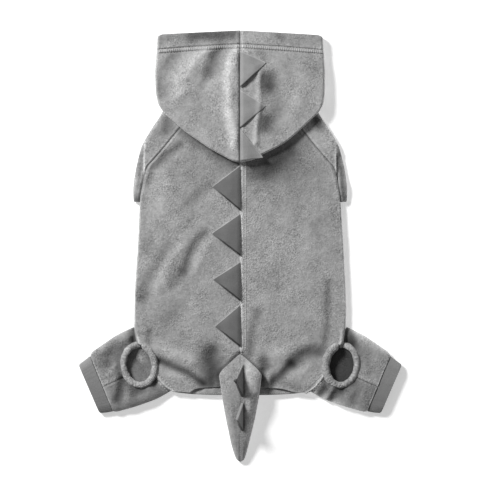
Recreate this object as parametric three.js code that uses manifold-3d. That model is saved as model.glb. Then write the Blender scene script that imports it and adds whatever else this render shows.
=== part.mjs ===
// Dinosaur dog costume, a one-piece fleece suit for a small dog, laid flat with its back up.
// Millimetres, +Z up. The suit lies on z = 0, the hood towards +Y and the tail towards -Y.
// Every piece of cloth is a wall: its outer face is a grid of points worked out from the tables
// below, and its inner face is the same grid moved in by the cloth's thickness.
import * as THREE from "three";
import { mergeVertices } from "three/addons/utils/BufferGeometryUtils.js";
import Module from "manifold-3d";

const wasm = await Module();
wasm.setup();

// Cloth and seams
const FLEECE = 2.6;
const RIB_KNIT = 2;
const FELT = 2.8;
const TAPE = 1.2;
const GAP = 0.3;
const HALF_GAP = GAP / 2;

// Heights of the outer faces above the surface
const BACK_TOP = 8.6;
const SIDE_SEAM = FLEECE + GAP + 1;
const HOOD_REST = BACK_TOP + 0.4;
const HOOD_MOUTH_TOP = 13.2;
const HOOD_CROWN_TOP = 17.4;
const HOOD_LEAST_TOP = HOOD_REST + 2 * FLEECE + 0.6;
const CUFF_TOP = 9;
const LEG_LEAST_TOP = 2 * FLEECE + 0.8;
const RING_CUT_LOW = FLEECE + 0.4;

// Lengths along the suit
const NECK = 147.7;
const HOOD_HEM_RISE = 0.6;
const SLEEVE_END = 45.5;

// How far in from an edge the cloth starts to roll over it, and the most of a section it may take
const BACK_ROLL = 9;
const HOOD_MOUTH_ROLL = 9;
const HOOD_CROWN_ROLL = 5;
const SLEEVE_ROLL = 5;
const LEG_ROLL = 8;
const MOST_ROLL_SHARE = 0.7;

// Where along the suit the back's sides change from lying open at a seam to rolling down
const ROLL = { underSleeve: 62, belowSleeve: 42, aboveRing: -97, atRing: -110 };

// A slanted seam's gap measured across the suit
const SLANT_GAP = GAP * 1.35;

// Steps of the grids
const STEPS = { under: 2, roll: 6, hood: 9, sleeve: 4, leg: 5, back: 8, backRoll: 4, belly: 4 };

// Colours, roughness and metalness
const FINISH = {
  fleece: { color: 0x9b9b9b, roughness: 0.95, metalness: 0 },
  hoodFleece: { color: 0xa6a6a6, roughness: 0.95, metalness: 0 },
  felt: { color: 0x6f6f6f, roughness: 0.9, metalness: 0 },
  rib: { color: 0x7c7c7c, roughness: 0.9, metalness: 0 },
};

// Side edges of the back below the sleeves, a row for each section: half-widths to left and right
const BODY_SIDE = [
  { y: 40, left: 103.9, right: 103.9 },
  { y: 28, left: 104.4, right: 104.6 },
  { y: 14, left: 105, right: 105.6 },
  { y: 0, left: 105.7, right: 106.4 },
  { y: -16, left: 106.8, right: 107.2 },
  { y: -32, left: 108, right: 108 },
  { y: -48, left: 108.7, right: 108.8 },
  { y: -64, left: 109.2, right: 109.2 },
  { y: -83, left: 109.3, right: 108.6 },
  { y: -95, left: 107.6, right: 106.8 },
  { y: -105, left: 104.4, right: 105 },
  { y: -118, left: 97, right: 97 },
  { y: -130.4, left: 89.6, right: 89.6 },
  { y: -139.5, left: 80.4, right: 80.4 },
  { y: -144.5, left: 71.3, right: 71.3 },
];
const REAR_DIP = 4.2;
const SLEEVE_DROP_SHARE = 0.6;
const BELLY_HEM = -150.6;
const BELLY_HEM_BOW = 2.6;
const BELLY_HEM_HALF = 67;

// Sleeve sections from the neck to the wrist. seam: raglan seam with the back. edge: outer fold.
// armhole: where the part on the floor meets the belly.
const SLEEVE = [
  { seamX: 42.8, seamY: NECK, edgeX: 75.6, edgeY: NECK, armholeX: 60.3, armholeY: NECK },
  { seamX: 53.2, seamY: 133.7, edgeX: 82.4, edgeY: 135, armholeX: 61, armholeY: 133 },
  { seamX: 64, seamY: 120.4, edgeX: 91.5, edgeY: 121, armholeX: 62.3, armholeY: 118 },
  { seamX: 79.6, seamY: 101.1, edgeX: 101.8, edgeY: 102.5, armholeX: 66, armholeY: 99 },
  { seamX: 90.5, seamY: 88.5, edgeX: 106, edgeY: 87.5, armholeX: 71, armholeY: 84 },
  { seamX: 96.2, seamY: 81.7, edgeX: 107.7, edgeY: 79.5, armholeX: 76, armholeY: 74 },
  { seamX: 99.4, seamY: 72.6, edgeX: 109.2, edgeY: 70.5, armholeX: 82, armholeY: 64 },
  { seamX: 101.8, seamY: 60, edgeX: 110.4, edgeY: 59, armholeX: 90, armholeY: 54 },
  { seamX: 103.6, seamY: 49.6, edgeX: 110.2, edgeY: 48.5, armholeX: 97, armholeY: 47 },
  { seamX: 103.8, seamY: SLEEVE_END, edgeX: 109.6, edgeY: 45.8, armholeX: 100, armholeY: 45.6 },
];

// Hood sections from the mouth to the tip: a point of the centre seam, and the outline to each side
const HOOD = [
  { seamY: 222.1, leftX: 85.2, leftY: 218.2, rightX: 85.1, rightY: 217.4 },
  { seamY: 209.4, leftX: 85.9, leftY: 205.2, rightX: 85.8, rightY: 204.6 },
  { seamY: 207.4, leftX: 86, leftY: 203.2, rightX: 85.9, rightY: 202.6 },
  { seamY: 196, leftX: 87.1, leftY: 192.5, rightX: 86.6, rightY: 192 },
  { seamY: 184, leftX: 87.9, leftY: 181.5, rightX: 87.3, rightY: 181 },
  { seamY: 172, leftX: 87.7, leftY: 170.5, rightX: 87.4, rightY: 170 },
  { seamY: 160, leftX: 87.1, leftY: 159.5, rightX: 87.2, rightY: 159 },
  { seamY: 148, leftX: 84.9, leftY: 148, rightX: 85.8, rightY: 148 },
  { seamY: 141, leftX: 79.6, leftY: 138.6, rightX: 81.2, rightY: 138.6 },
  { seamY: 135, leftX: 67.3, leftY: 127.4, rightX: 73.3, rightY: 130.7 },
  { seamY: 129, leftX: 54.5, leftY: 116.4, rightX: 60, rightY: 118.2 },
  { seamY: 123, leftX: 42, leftY: 107.7, rightX: 47.5, rightY: 107.7 },
  { seamY: 117, leftX: 29.3, leftY: 99.2, rightX: 35, rightY: 100.3 },
  { seamY: 111, leftX: 16.5, leftY: 92.2, rightX: 23, rightY: 94.4 },
  { seamY: 105, leftX: 5.5, leftY: 87, rightX: 12, rightY: 88.6 },
  { seamY: 101, leftX: HALF_GAP, leftY: 86.3, rightX: HALF_GAP, rightY: 86.3 },
];
const NECK_ROW = 7;
const HOOD_HEM_ROW = 1;
const HOOD_OVERLAP_Y = 149;
const HOOD_SHAPE = {
  crownFrom: 150,
  mouthAt: 222,
  foldsFrom: 198,
  foldsTo: 208,
  halfWidth: 86,
  sideFall: 1.6,
  seamDepth: 1.3,
  seamWide: 4,
};

// Hind leg sections from the body to the cuff seam: the upper and the lower edge of the outline
const LEG = [
  { upX: 109.9, upY: -83.2, lowX: 71.6, lowY: -149.3, top: 7.8 },
  { upX: 118.8, upY: -87.2, lowX: 85.8, lowY: -157.2, top: 9.6 },
  { upX: 127.8, upY: -91.8, lowX: 98, lowY: -161.9, top: 11.2 },
  { upX: 137, upY: -97.9, lowX: 108.5, lowY: -165.4, top: 11.8 },
  { upX: 145.5, upY: -103.8, lowX: 118.5, lowY: -168.3, top: 11.8 },
  { upX: 152.4, upY: -108.8, lowX: 127.5, lowY: -170.5, top: 11.2 },
  { upX: 154.6, upY: -112.8, lowX: 131, lowY: -170.1, top: 10.4 },
];
const LEG_SEAM_SHARE = 0.555;
const CUFF = [
  { upX: 155, upY: -113.2, lowX: 131.4, lowY: -170.3 },
  { upX: 160.7, upY: -117.6, lowX: 138, lowY: -171.4 },
  { upX: 166.6, upY: -122, lowX: 144.9, lowY: -172 },
];

// Hip openings: a bound ellipse a side, leaning with its top away from the body
const RING = { x: 104.1, y: -122.2, wide: 15.6, long: 20.4, lean: 0.14, tube: 3 };
const RING_HIGH = 9.4;
const RING_LOW = 6.6;
const RING_TUCK = { angle: 1.25, wide: 0.5 };
const RING_FLATNESS = 0.85;
const CUT_TOP = 20;
const CROTCH = [
  { x: 109.6, y: -76 },
  { x: 109.6, y: -112 },
  { x: 90, y: -130.7 },
  { x: 71.5, y: -149.2 },
  { x: 60, y: -149.2 },
  { x: 60, y: -76 },
];

// Tail sections from its pointed root to its tip
const TAIL = [
  { y: -110.9, left: 0.4, right: 0.4, low: 9, top: 9.6 },
  { y: -116, left: 6.4, right: 6.8, low: 9, top: 16 },
  { y: -122, left: 13, right: 13.4, low: 9, top: 20.4 },
  { y: -128, left: 19.2, right: 19.4, low: 9, top: 23 },
  { y: -133, left: 21.7, right: 22, low: 9, top: 24.2 },
  { y: -141, left: 20.6, right: 21.2, low: 9, top: 25 },
  { y: -150, left: 19.4, right: 20.2, low: 9, top: 25 },
  { y: -158, left: 18.2, right: 19, low: 5, top: 24 },
  { y: -167, left: 16.8, right: 17.2, low: 1.5, top: 22.2 },
  { y: -178, left: 14.7, right: 15.1, low: 0, top: 19.6 },
  { y: -191, left: 12, right: 12, low: 0, top: 16.2 },
  { y: -204, left: 9.2, right: 8.8, low: 0, top: 12.6 },
  { y: -214, left: 6.2, right: 6.2, low: 0, top: 9.4 },
  { y: -220, left: 3.6, right: 3.9, low: 0.4, top: 6.8 },
  { y: -222.1, left: 0.6, right: 0.9, low: 1.6, top: 4.4 },
];

// How full the sections of the tail and the cuffs are
const TAIL_SHAPE = { across: 0.9, flat: 1.12, steps: 10 };
const CUFF_SHAPE = { across: 0.6, rise: 0.9, flat: 1.25, steps: 28 };

// Spikes: the ends of the sewn base, and the tip
const BACK_SPIKES = [
  { baseTop: 83.5, baseEnd: 37, tipX: -29.3, tipY: 61.4 },
  { baseTop: 33.8, baseEnd: -9.5, tipX: -30, tipY: 13.3 },
  { baseTop: -15.8, baseEnd: -56, tipX: -28.4, tipY: -33.9 },
  { baseTop: -59.9, baseEnd: -103.1, tipX: -26.5, tipY: -82.4 },
];
const HOOD_SPIKES = [
  { baseTop: 200.8, baseEnd: 163.8, tipX: 26.8, tipY: 188.9 },
  { baseTop: 160.6, baseEnd: 122, tipX: 26, tipY: 144.1 },
  { baseTop: 120.5, baseEnd: 90, tipX: 23.6, tipY: 91.2 },
];
const HOOD_SPIKE_LIFT = 5;
const TAIL_SPIKES = [
  { baseTop: -120.7, baseEnd: -155.6, tipX: -5.6, tipY: -136.3, height: 23 },
  { baseTop: -159.7, baseEnd: -190.5, tipX: -3.7, tipY: -178.1, height: 20 },
];
const TAIL_SPIKE_BASE = 2.2;
const SPIKE_BASE = 0.9;
const SPIKE_BLUNT = 0.985;
const STANDING_BLUNT = 0.97;
const STANDING_TAPER = 0.4;
const STRIP = { left: 1.5, right: 6.3, top: 83.8, end: -109.5 };

// Largest folds of each surface: a line in plan, how wide the fold is and how high (or deep) it is
const BACK_FOLDS_END = { from: 60, to: 85 };
const BACK_FOLDS = [
  { x1: -34, y1: 17, x2: -55, y2: -24, wide: 11, rise: -1.1 },
  { x1: -67, y1: -4, x2: -97, y2: -50, wide: 11, rise: -1 },
  { x1: -52, y1: 24, x2: -78, y2: -14, wide: 10, rise: 0.6 },
  { x1: 92, y1: -20, x2: 92, y2: -100, wide: 10, rise: -1 },
  { x1: 16, y1: -74, x2: 16, y2: -107, wide: 9, rise: -0.9 },
  { x1: -85, y1: -115, x2: -38, y2: -138, wide: 8, rise: -1.3 },
  { x1: -31, y1: -102, x2: -31, y2: -134, wide: 8, rise: -1.1 },
  { x1: 81, y1: -109, x2: 59, y2: -114, wide: 8, rise: -1.2 },
  { x1: 59, y1: -114, x2: 33, y2: -141, wide: 8, rise: -1.2 },
  { x1: -60, y1: -112, x2: -48, y2: -128, wide: 9, rise: 0.8 },
  { x1: 60, y1: -96, x2: 50, y2: -104, wide: 10, rise: 0.7 },
];
const HOOD_FOLDS = [
  { x1: -11, y1: 200, x2: -12, y2: 104, wide: 8, rise: 1.3 },
  { x1: 17, y1: 196, x2: 13, y2: 104, wide: 9, rise: 1.1 },
  { x1: -23, y1: 193, x2: -33, y2: 169, wide: 9, rise: -1.4 },
  { x1: -36, y1: 184, x2: -58, y2: 156, wide: 10, rise: 0.9 },
  { x1: -67, y1: 185, x2: -77, y2: 149, wide: 9, rise: -1.1 },
  { x1: 30, y1: 173, x2: 30, y2: 166, wide: 9, rise: -1.4 },
  { x1: 27, y1: 124, x2: 29, y2: 118, wide: 9, rise: -1.1 },
];
const LEG_FOLDS = [
  { x1: -122, y1: -134, x2: -124, y2: -158, wide: 7, rise: -1.6 },
  { x1: -140, y1: -116, x2: -135, y2: -132, wide: 9, rise: -1.3 },
  { x1: 115, y1: -146, x2: 103, y2: -156, wide: 8, rise: -1.6 },
  { x1: 138, y1: -126, x2: 132, y2: -134, wide: 9, rise: -1 },
  { x1: -113, y1: -84, x2: -113, y2: -96, wide: 8, rise: -1.2 },
  { x1: 113, y1: -84, x2: 113, y2: -96, wide: 8, rise: -1.2 },
];

// Small tools

const SIDES = [
  { name: "left", sign: -1 },
  { name: "right", sign: 1 },
];

function smoothStep(from, to, at) {
  return THREE.MathUtils.smoothstep(at, from, to);
}

// Height of the folds of a list at a point: each fades out with the distance from its line
function folds(list, x, y) {
  let sum = 0;
  for (const f of list) {
    const run = (f.x2 - f.x1) ** 2 + (f.y2 - f.y1) ** 2;
    const along = ((x - f.x1) * (f.x2 - f.x1) + (y - f.y1) * (f.y2 - f.y1)) / run;
    const t = THREE.MathUtils.clamp(along, 0, 1);
    const off = Math.hypot(x - f.x1 - t * (f.x2 - f.x1), y - f.y1 - t * (f.y2 - f.y1));
    sum += f.rise * Math.exp(-((off / f.wide) ** 2));
  }
  return sum;
}

// Normals of a grid, turned so that the last column's middle faces up
function gridNormals(grid) {
  const rows = grid.length;
  const columns = grid[0].length;
  const normals = grid.map((row, i) =>
    row.map((_, j) => {
      const before = grid[Math.max(i - 1, 0)][j];
      const after = grid[Math.min(i + 1, rows - 1)][j];
      const inside = row[Math.max(j - 1, 0)];
      const outside = row[Math.min(j + 1, columns - 1)];
      const along = new THREE.Vector3().subVectors(after, before);
      const across = new THREE.Vector3().subVectors(outside, inside);
      return along.cross(across).normalize();
    }),
  );
  const up = normals[Math.floor(rows / 2)][columns - 1].z > 0 ? 1 : -1;
  return normals.map((row) => row.map((n) => n.multiplyScalar(up)));
}

// Closed geometry between two grids of the same size. wrap joins the last column to the first.
function between(a, b, wrap = false) {
  const rows = a.length;
  const columns = a[0].length;
  const points = [...a.flat(), ...b.flat()];
  const faces = [];
  const quad = (p, q, r, s) => faces.push(p, q, r, p, r, s);
  const at = (side, i, j) => (side * rows + i) * columns + (j % columns);
  const last = wrap ? columns : columns - 1;
  for (let j = 0; j < last; j++) {
    for (let i = 0; i < rows - 1; i++) {
      quad(at(0, i, j), at(0, i, j + 1), at(0, i + 1, j + 1), at(0, i + 1, j));
      quad(at(1, i, j), at(1, i + 1, j), at(1, i + 1, j + 1), at(1, i, j + 1));
    }
    quad(at(0, 0, j), at(1, 0, j), at(1, 0, j + 1), at(0, 0, j + 1));
    quad(at(0, rows - 1, j), at(0, rows - 1, j + 1), at(1, rows - 1, j + 1), at(1, rows - 1, j));
  }
  for (let i = 0; i < rows - 1 && !wrap; i++) {
    quad(at(0, i, 0), at(0, i + 1, 0), at(1, i + 1, 0), at(1, i, 0));
    const j = columns - 1;
    quad(at(0, i, j), at(1, i, j), at(1, i + 1, j), at(0, i + 1, j));
  }
  return closed(points, faces);
}

// Geometry from points and faces, with shared points merged, no empty faces, and its faces out
function closed(points, faces) {
  const loose = new THREE.BufferGeometry().setFromPoints(points).setIndex(faces);
  const merged = mergeVertices(loose, 1e-3);
  const old = merged.index.array;
  const kept = [];
  for (let i = 0; i < old.length; i += 3) {
    const [p, q, r] = [old[i], old[i + 1], old[i + 2]];
    if (p !== q && q !== r && r !== p) kept.push(p, q, r);
  }
  merged.setIndex(kept);
  if (signedVolume(merged) < 0) {
    for (let i = 0; i < kept.length; i += 3) [kept[i + 1], kept[i + 2]] = [kept[i + 2], kept[i + 1]];
    merged.setIndex(kept);
  }
  return merged;
}

function signedVolume(geometry) {
  const place = geometry.getAttribute("position");
  const index = geometry.index.array;
  const corner = [new THREE.Vector3(), new THREE.Vector3(), new THREE.Vector3()];
  let sum = 0;
  for (let i = 0; i < index.length; i += 3) {
    corner.forEach((c, k) => c.fromBufferAttribute(place, index[i + k]));
    sum += corner[0].dot(corner[1].clone().cross(corner[2])) / 6;
  }
  return sum;
}

// A wall of cloth: the outer grid, and the same grid moved in, which stays on its own side of x = 0
function wall(outer, thickness, side) {
  const normals = gridNormals(outer);
  const inner = outer.map((row, i) =>
    row.map((p, j) => {
      const q = p.clone().addScaledVector(normals[i][j], -thickness);
      if (side) q.x = side * Math.max(side * q.x, HALF_GAP);
      return q;
    }),
  );
  return between(outer, inner);
}

function solid(geometry) {
  const position = geometry.getAttribute("position");
  return new wasm.Manifold(
    new wasm.Mesh({
      numProp: 3,
      vertProperties: new Float32Array(position.array),
      triVerts: new Uint32Array(geometry.index.array),
    }),
  );
}

function geometryOf(manifold) {
  const mesh = manifold.getMesh();
  const points = [];
  for (let i = 0; i < mesh.numVert; i++) {
    points.push(new THREE.Vector3().fromArray(mesh.vertProperties, i * mesh.numProp));
  }
  return closed(points, Array.from(mesh.triVerts));
}

// An upright block over an outline, to cut with
function block(outline, low, high) {
  const shape = new THREE.Shape(outline.map((p) => new THREE.Vector2(p.x, p.y)));
  const extruded = new THREE.ExtrudeGeometry(shape, { depth: high - low, bevelEnabled: false });
  extruded.translate(0, 0, low);
  extruded.deleteAttribute("normal");
  extruded.deleteAttribute("uv");
  const merged = mergeVertices(extruded, 1e-3);
  const corners = [];
  const place = merged.getAttribute("position");
  for (let i = 0; i < place.count; i++) corners.push(new THREE.Vector3().fromBufferAttribute(place, i));
  return closed(corners, Array.from(merged.index.array));
}

// One section of cloth bent round an edge: along the floor side from its inner end to the edge,
// round the edge, and back over the top. Ends and edge are points in plan.
function bentSection({ lowerEnd, edge, upperEnd, low, topAt, roll, upperSteps }) {
  const inUpper = new THREE.Vector2().subVectors(upperEnd, edge);
  const inLower = new THREE.Vector2().subVectors(lowerEnd, edge);
  const reach = Math.min(roll, MOST_ROLL_SHARE * inUpper.length(), MOST_ROLL_SHARE * inLower.length());
  const upper = inUpper.clone().normalize();
  const lower = inLower.clone().normalize();
  const foot = edge.clone().addScaledVector(lower, reach);
  const crest = edge.clone().addScaledVector(upper, reach);
  const crestTop = topAt(crest.x, crest.y);
  const points = [];
  for (let k = 0; k < STEPS.under; k++) {
    const p = lowerEnd.clone().lerp(foot, k / STEPS.under);
    points.push(new THREE.Vector3(p.x, p.y, low));
  }
  for (let k = 0; k <= STEPS.roll; k++) {
    const angle = -Math.PI / 2 + (Math.PI * k) / STEPS.roll;
    const way = lower.clone().lerp(upper, (Math.sin(angle) + 1) / 2);
    const p = edge.clone().addScaledVector(way, reach * (1 - Math.cos(angle)));
    points.push(new THREE.Vector3(p.x, p.y, low + ((crestTop - low) * (Math.sin(angle) + 1)) / 2));
  }
  for (let k = 1; k <= upperSteps; k++) {
    const p = crest.clone().lerp(upperEnd, k / upperSteps);
    points.push(new THREE.Vector3(p.x, p.y, topAt(p.x, p.y)));
  }
  return points;
}

// Surfaces

// 1 where the back rolls down to the side seam, 0 where it meets a sleeve, a ring or a leg
function sideRoll(y) {
  if (y > 0) return 1 - smoothStep(ROLL.belowSleeve, ROLL.underSleeve, y);
  return smoothStep(ROLL.atRing, ROLL.aboveRing, y);
}

function backTop(x, y) {
  const fade = 1 - smoothStep(BACK_FOLDS_END.from, BACK_FOLDS_END.to, y);
  return BACK_TOP + folds(BACK_FOLDS, x, y) * fade;
}

function hoodTop(x, y) {
  const shape = HOOD_SHAPE;
  const toMouth = smoothStep(shape.crownFrom, shape.mouthAt, y);
  const crown = THREE.MathUtils.lerp(HOOD_CROWN_TOP, HOOD_MOUTH_TOP, toMouth);
  const fall = shape.sideFall * (x / shape.halfWidth) ** 2;
  const seam = shape.seamDepth * Math.exp(-((x / shape.seamWide) ** 2));
  const relief = folds(HOOD_FOLDS, x, y) * (1 - smoothStep(shape.foldsFrom, shape.foldsTo, y));
  const top = crown - fall - seam + relief;
  return y < HOOD_OVERLAP_Y ? Math.max(top, HOOD_LEAST_TOP) : top;
}

function legTop(x, y, top) {
  return Math.max(top + folds(LEG_FOLDS, x, y), LEG_LEAST_TOP);
}

// Pieces

function backPanel(side) {
  const raglan = SLEEVE.map((row) => ({ y: row.seamY, edge: row.seamX - SLANT_GAP }));
  const below = BODY_SIDE.map((row) => ({ y: row.y, edge: row[side.name] }));
  const rows = [...raglan, ...below];
  const { back: across, backRoll: round } = STEPS;
  const outer = rows.map(({ y, edge }, i) => {
    const rolled = sideRoll(y);
    const dip = i === rows.length - 1 ? REAR_DIP : 0;
    const points = [];
    const flat = edge - BACK_ROLL;
    const place = (x, drop) => {
      const bent = y - dip * (x / edge) ** 2;
      points.push(new THREE.Vector3(side.sign * x, bent, backTop(side.sign * x, bent) - drop));
    };
    for (let k = round; k > 0; k--) {
      const angle = ((Math.PI / 2) * k) / round;
      const drop = rolled * (BACK_TOP - SIDE_SEAM) * (1 - Math.cos(angle));
      place(flat + BACK_ROLL * Math.sin(angle), drop);
    }
    for (let k = across; k >= 0; k--) place(HALF_GAP + ((flat - HALF_GAP) * k) / across, 0);
    return points;
  });
  const panel = solid(wall(outer, FLEECE, side.sign));
  return geometryOf(panel.subtract(solid(block(ringOutline(side, GAP), 0, CUT_TOP))));
}

// The belly lies under the back and reaches the hind legs' under layers at the crotch
function bellyPanel() {
  const armhole = SLEEVE.map((row) => ({ y: row.armholeY, half: row.armholeX - SLANT_GAP }));
  const sides = BODY_SIDE.filter((row) => row.y > CROTCH[0].y);
  const rows = [
    ...armhole,
    ...sides.map((row) => ({ y: row.y, half: Math.min(row.left, row.right) })),
    ...CROTCH.slice(0, 4).map((p) => ({ y: p.y + GAP, half: p.x - GAP })),
    { y: BELLY_HEM, half: BELLY_HEM_HALF },
  ];
  const grid = rows.map(({ y, half }) => {
    const points = [];
    for (let k = 0; k <= STEPS.belly; k++) {
      const x = THREE.MathUtils.lerp(-half, half, k / STEPS.belly);
      const bow = y === BELLY_HEM ? BELLY_HEM_BOW * (1 - (x / half) ** 2) : 0;
      points.push(new THREE.Vector3(x, y - bow, FLEECE));
    }
    return points;
  });
  const under = grid.map((row) => row.map((p) => new THREE.Vector3(p.x, p.y, 0)));
  return between(grid, under);
}

function sleeve(side) {
  const outer = SLEEVE.map((row) => {
    const seamDrop = sideRoll(row.seamY) * (BACK_TOP - SIDE_SEAM) * SLEEVE_DROP_SHARE;
    return bentSection({
      lowerEnd: new THREE.Vector2(side.sign * row.armholeX, row.armholeY),
      edge: new THREE.Vector2(side.sign * row.edgeX, row.edgeY),
      upperEnd: new THREE.Vector2(side.sign * row.seamX, row.seamY),
      low: 0,
      topAt: () => BACK_TOP - seamDrop,
      roll: SLEEVE_ROLL,
      upperSteps: STEPS.sleeve,
    });
  });
  return wall(outer, FLEECE, side.sign);
}

// The mouth part lies on the floor, and the crown part folds back under itself over the back
function hoodPanel(side) {
  const section = (row, low, roll) =>
    bentSection({
      lowerEnd: new THREE.Vector2(side.sign * HALF_GAP, row.seamY),
      edge: new THREE.Vector2(side.sign * row[`${side.name}X`], row[`${side.name}Y`]),
      upperEnd: new THREE.Vector2(side.sign * HALF_GAP, row.seamY),
      low,
      topAt: hoodTop,
      roll,
      upperSteps: STEPS.hood,
    });
  const mouth = HOOD.slice(0, NECK_ROW + 1).map((row, i) => {
    const points = section(row, 0, HOOD_MOUTH_ROLL);
    const hem = i <= HOOD_HEM_ROW ? HOOD_HEM_RISE : 0;
    const upper = STEPS.under + STEPS.roll / 2;
    return points.map((p, j) => (j > upper ? p.setZ(p.z + hem) : p));
  });
  const y = HOOD_OVERLAP_Y;
  const overlap = { ...HOOD[NECK_ROW], seamY: y, leftY: y, rightY: y };
  const crownRows = [overlap, ...HOOD.slice(NECK_ROW)];
  const crown = crownRows.map((row) => section(row, HOOD_REST, HOOD_CROWN_ROLL));
  const mouthSolid = solid(wall(mouth, FLEECE, side.sign));
  return geometryOf(mouthSolid.add(solid(wall(crown, FLEECE, side.sign))));
}

function ringOutline(side, clearance) {
  const steps = 36;
  const outline = [];
  for (let k = 0; k < steps; k++) {
    outline.push(ringPoint(side, (2 * Math.PI * k) / steps, RING.tube + clearance));
  }
  return side.sign < 0 ? outline : outline.reverse();
}

// A point of the ring's ellipse, moved out from its middle line by an amount
function ringPoint(side, angle, out) {
  const x = (RING.wide + out) * Math.cos(angle);
  const y = (RING.long + out) * Math.sin(angle);
  const turned = {
    x: x * Math.cos(RING.lean) + y * Math.sin(RING.lean),
    y: -x * Math.sin(RING.lean) + y * Math.cos(RING.lean),
  };
  return new THREE.Vector2(side.sign * (RING.x + turned.x), RING.y + turned.y);
}

function ring(side) {
  const steps = 32;
  const around = 7;
  const geometry = new THREE.TorusGeometry(1, 0.5, around, steps);
  const place = geometry.getAttribute("position");
  for (let i = 0; i < place.count; i++) {
    const angle = Math.atan2(place.getY(i), place.getX(i));
    const out = (Math.hypot(place.getX(i), place.getY(i)) - 1) * 2 * RING.tube;
    const p = ringPoint(side, angle, out);
    const tucked = Math.exp(-(((angle - RING_TUCK.angle) / RING_TUCK.wide) ** 2));
    const middle = THREE.MathUtils.lerp(RING_HIGH, RING_LOW, tucked);
    place.setXYZ(i, p.x, p.y, middle + place.getZ(i) * 2 * RING.tube * RING_FLATNESS);
  }
  const points = [];
  for (let i = 0; i < place.count; i++) points.push(new THREE.Vector3().fromBufferAttribute(place, i));
  return closed(points, Array.from(geometry.index.array));
}

// front: the panel from the leg's seam round its upper edge. rear: round its lower edge.
function legPanel(side, front) {
  const outer = LEG.map((row) => {
    const up = new THREE.Vector2(side.sign * row.upX, row.upY);
    const low = new THREE.Vector2(side.sign * row.lowX, row.lowY);
    const share = (GAP / 2 / up.distanceTo(low)) * (front ? -1 : 1);
    return bentSection({
      lowerEnd: up.clone().lerp(low, 0.5 + share),
      edge: front ? up : low,
      upperEnd: up.clone().lerp(low, LEG_SEAM_SHARE + share),
      low: 0,
      topAt: (x, y) => legTop(x, y, row.top),
      roll: LEG_ROLL,
      upperSteps: STEPS.leg,
    });
  });
  const body = CROTCH.map((p) => new THREE.Vector2(side.sign * p.x, p.y));
  return geometryOf(
    solid(wall(outer, FLEECE))
      .subtract(solid(block(body, -1, CUT_TOP)))
      .subtract(solid(block(ringOutline(side, GAP), RING_CUT_LOW, CUT_TOP))),
  );
}

function cuff(side) {
  const around = CUFF_SHAPE.steps;
  const loop = (row, inset) => {
    const up = new THREE.Vector2(side.sign * row.upX, row.upY);
    const low = new THREE.Vector2(side.sign * row.lowX, row.lowY);
    const half = up.distanceTo(low) / 2 - inset;
    const middle = up.clone().lerp(low, 0.5);
    const way = new THREE.Vector2().subVectors(up, low).normalize();
    const high = CUFF_TOP / 2 - inset;
    const points = [];
    for (let k = 0; k < around; k++) {
      const angle = (2 * Math.PI * k) / around;
      const across = flattened(Math.cos(angle), CUFF_SHAPE.across, 1) * half;
      const rise = flattened(Math.sin(angle), CUFF_SHAPE.rise, CUFF_SHAPE.flat) * high;
      const p = middle.clone().addScaledVector(way, across);
      points.push(new THREE.Vector3(p.x, p.y, CUFF_TOP / 2 + rise));
    }
    return points;
  };
  return between(
    CUFF.map((row) => loop(row, 0)),
    CUFF.map((row) => loop(row, RIB_KNIT)),
    true,
  );
}

// A sine or cosine made fuller by a power and cut flat at 1
function flattened(value, power, gain) {
  return Math.sign(value) * Math.min(1, gain * Math.abs(value) ** power);
}

// Half of the stuffed tail, from its centre seam round the side to the seam beneath
function tailHalf(side) {
  const around = TAIL_SHAPE.steps;
  const outer = [];
  const seam = [];
  for (const row of TAIL) {
    const wide = row[side.name];
    const middle = (row.top + row.low) / 2;
    const high = (row.top - row.low) / 2;
    const points = [];
    for (let k = 0; k <= around; k++) {
      const angle = (Math.PI * k) / around;
      const x = HALF_GAP + (wide - HALF_GAP) * Math.sin(angle) ** TAIL_SHAPE.across;
      const rise = flattened(Math.cos(angle), 1, TAIL_SHAPE.flat);
      points.push(new THREE.Vector3(side.sign * x, row.y, middle + high * rise));
    }
    outer.push(points);
    seam.push(points.map((p) => new THREE.Vector3(side.sign * HALF_GAP, p.y, p.z)));
  }
  return between(outer, seam);
}

// A triangle of felt lying on a surface, from its base at x = 0 to its tip
function lyingSpike(row, surface, lift) {
  const lengthSteps = 4;
  const acrossSteps = 3;
  const grids = [GAP + FELT, GAP].map((above) => {
    const rows = [];
    for (let i = 0; i <= lengthSteps; i++) {
      const out = (i / lengthSteps) * SPIKE_BLUNT;
      const points = [];
      for (let k = 0; k <= acrossSteps; k++) {
        const baseY = THREE.MathUtils.lerp(row.baseTop, row.baseEnd, k / acrossSteps);
        const x = THREE.MathUtils.lerp(Math.sign(row.tipX) * -SPIKE_BASE, row.tipX, out);
        const y = THREE.MathUtils.lerp(baseY, row.tipY, out);
        const rise = lift * out ** 1.5 + above;
        points.push(new THREE.Vector3(x, y, surface(x, y) + rise));
      }
      rows.push(points);
    }
    return rows;
  });
  return between(grids[0], grids[1]);
}

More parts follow.
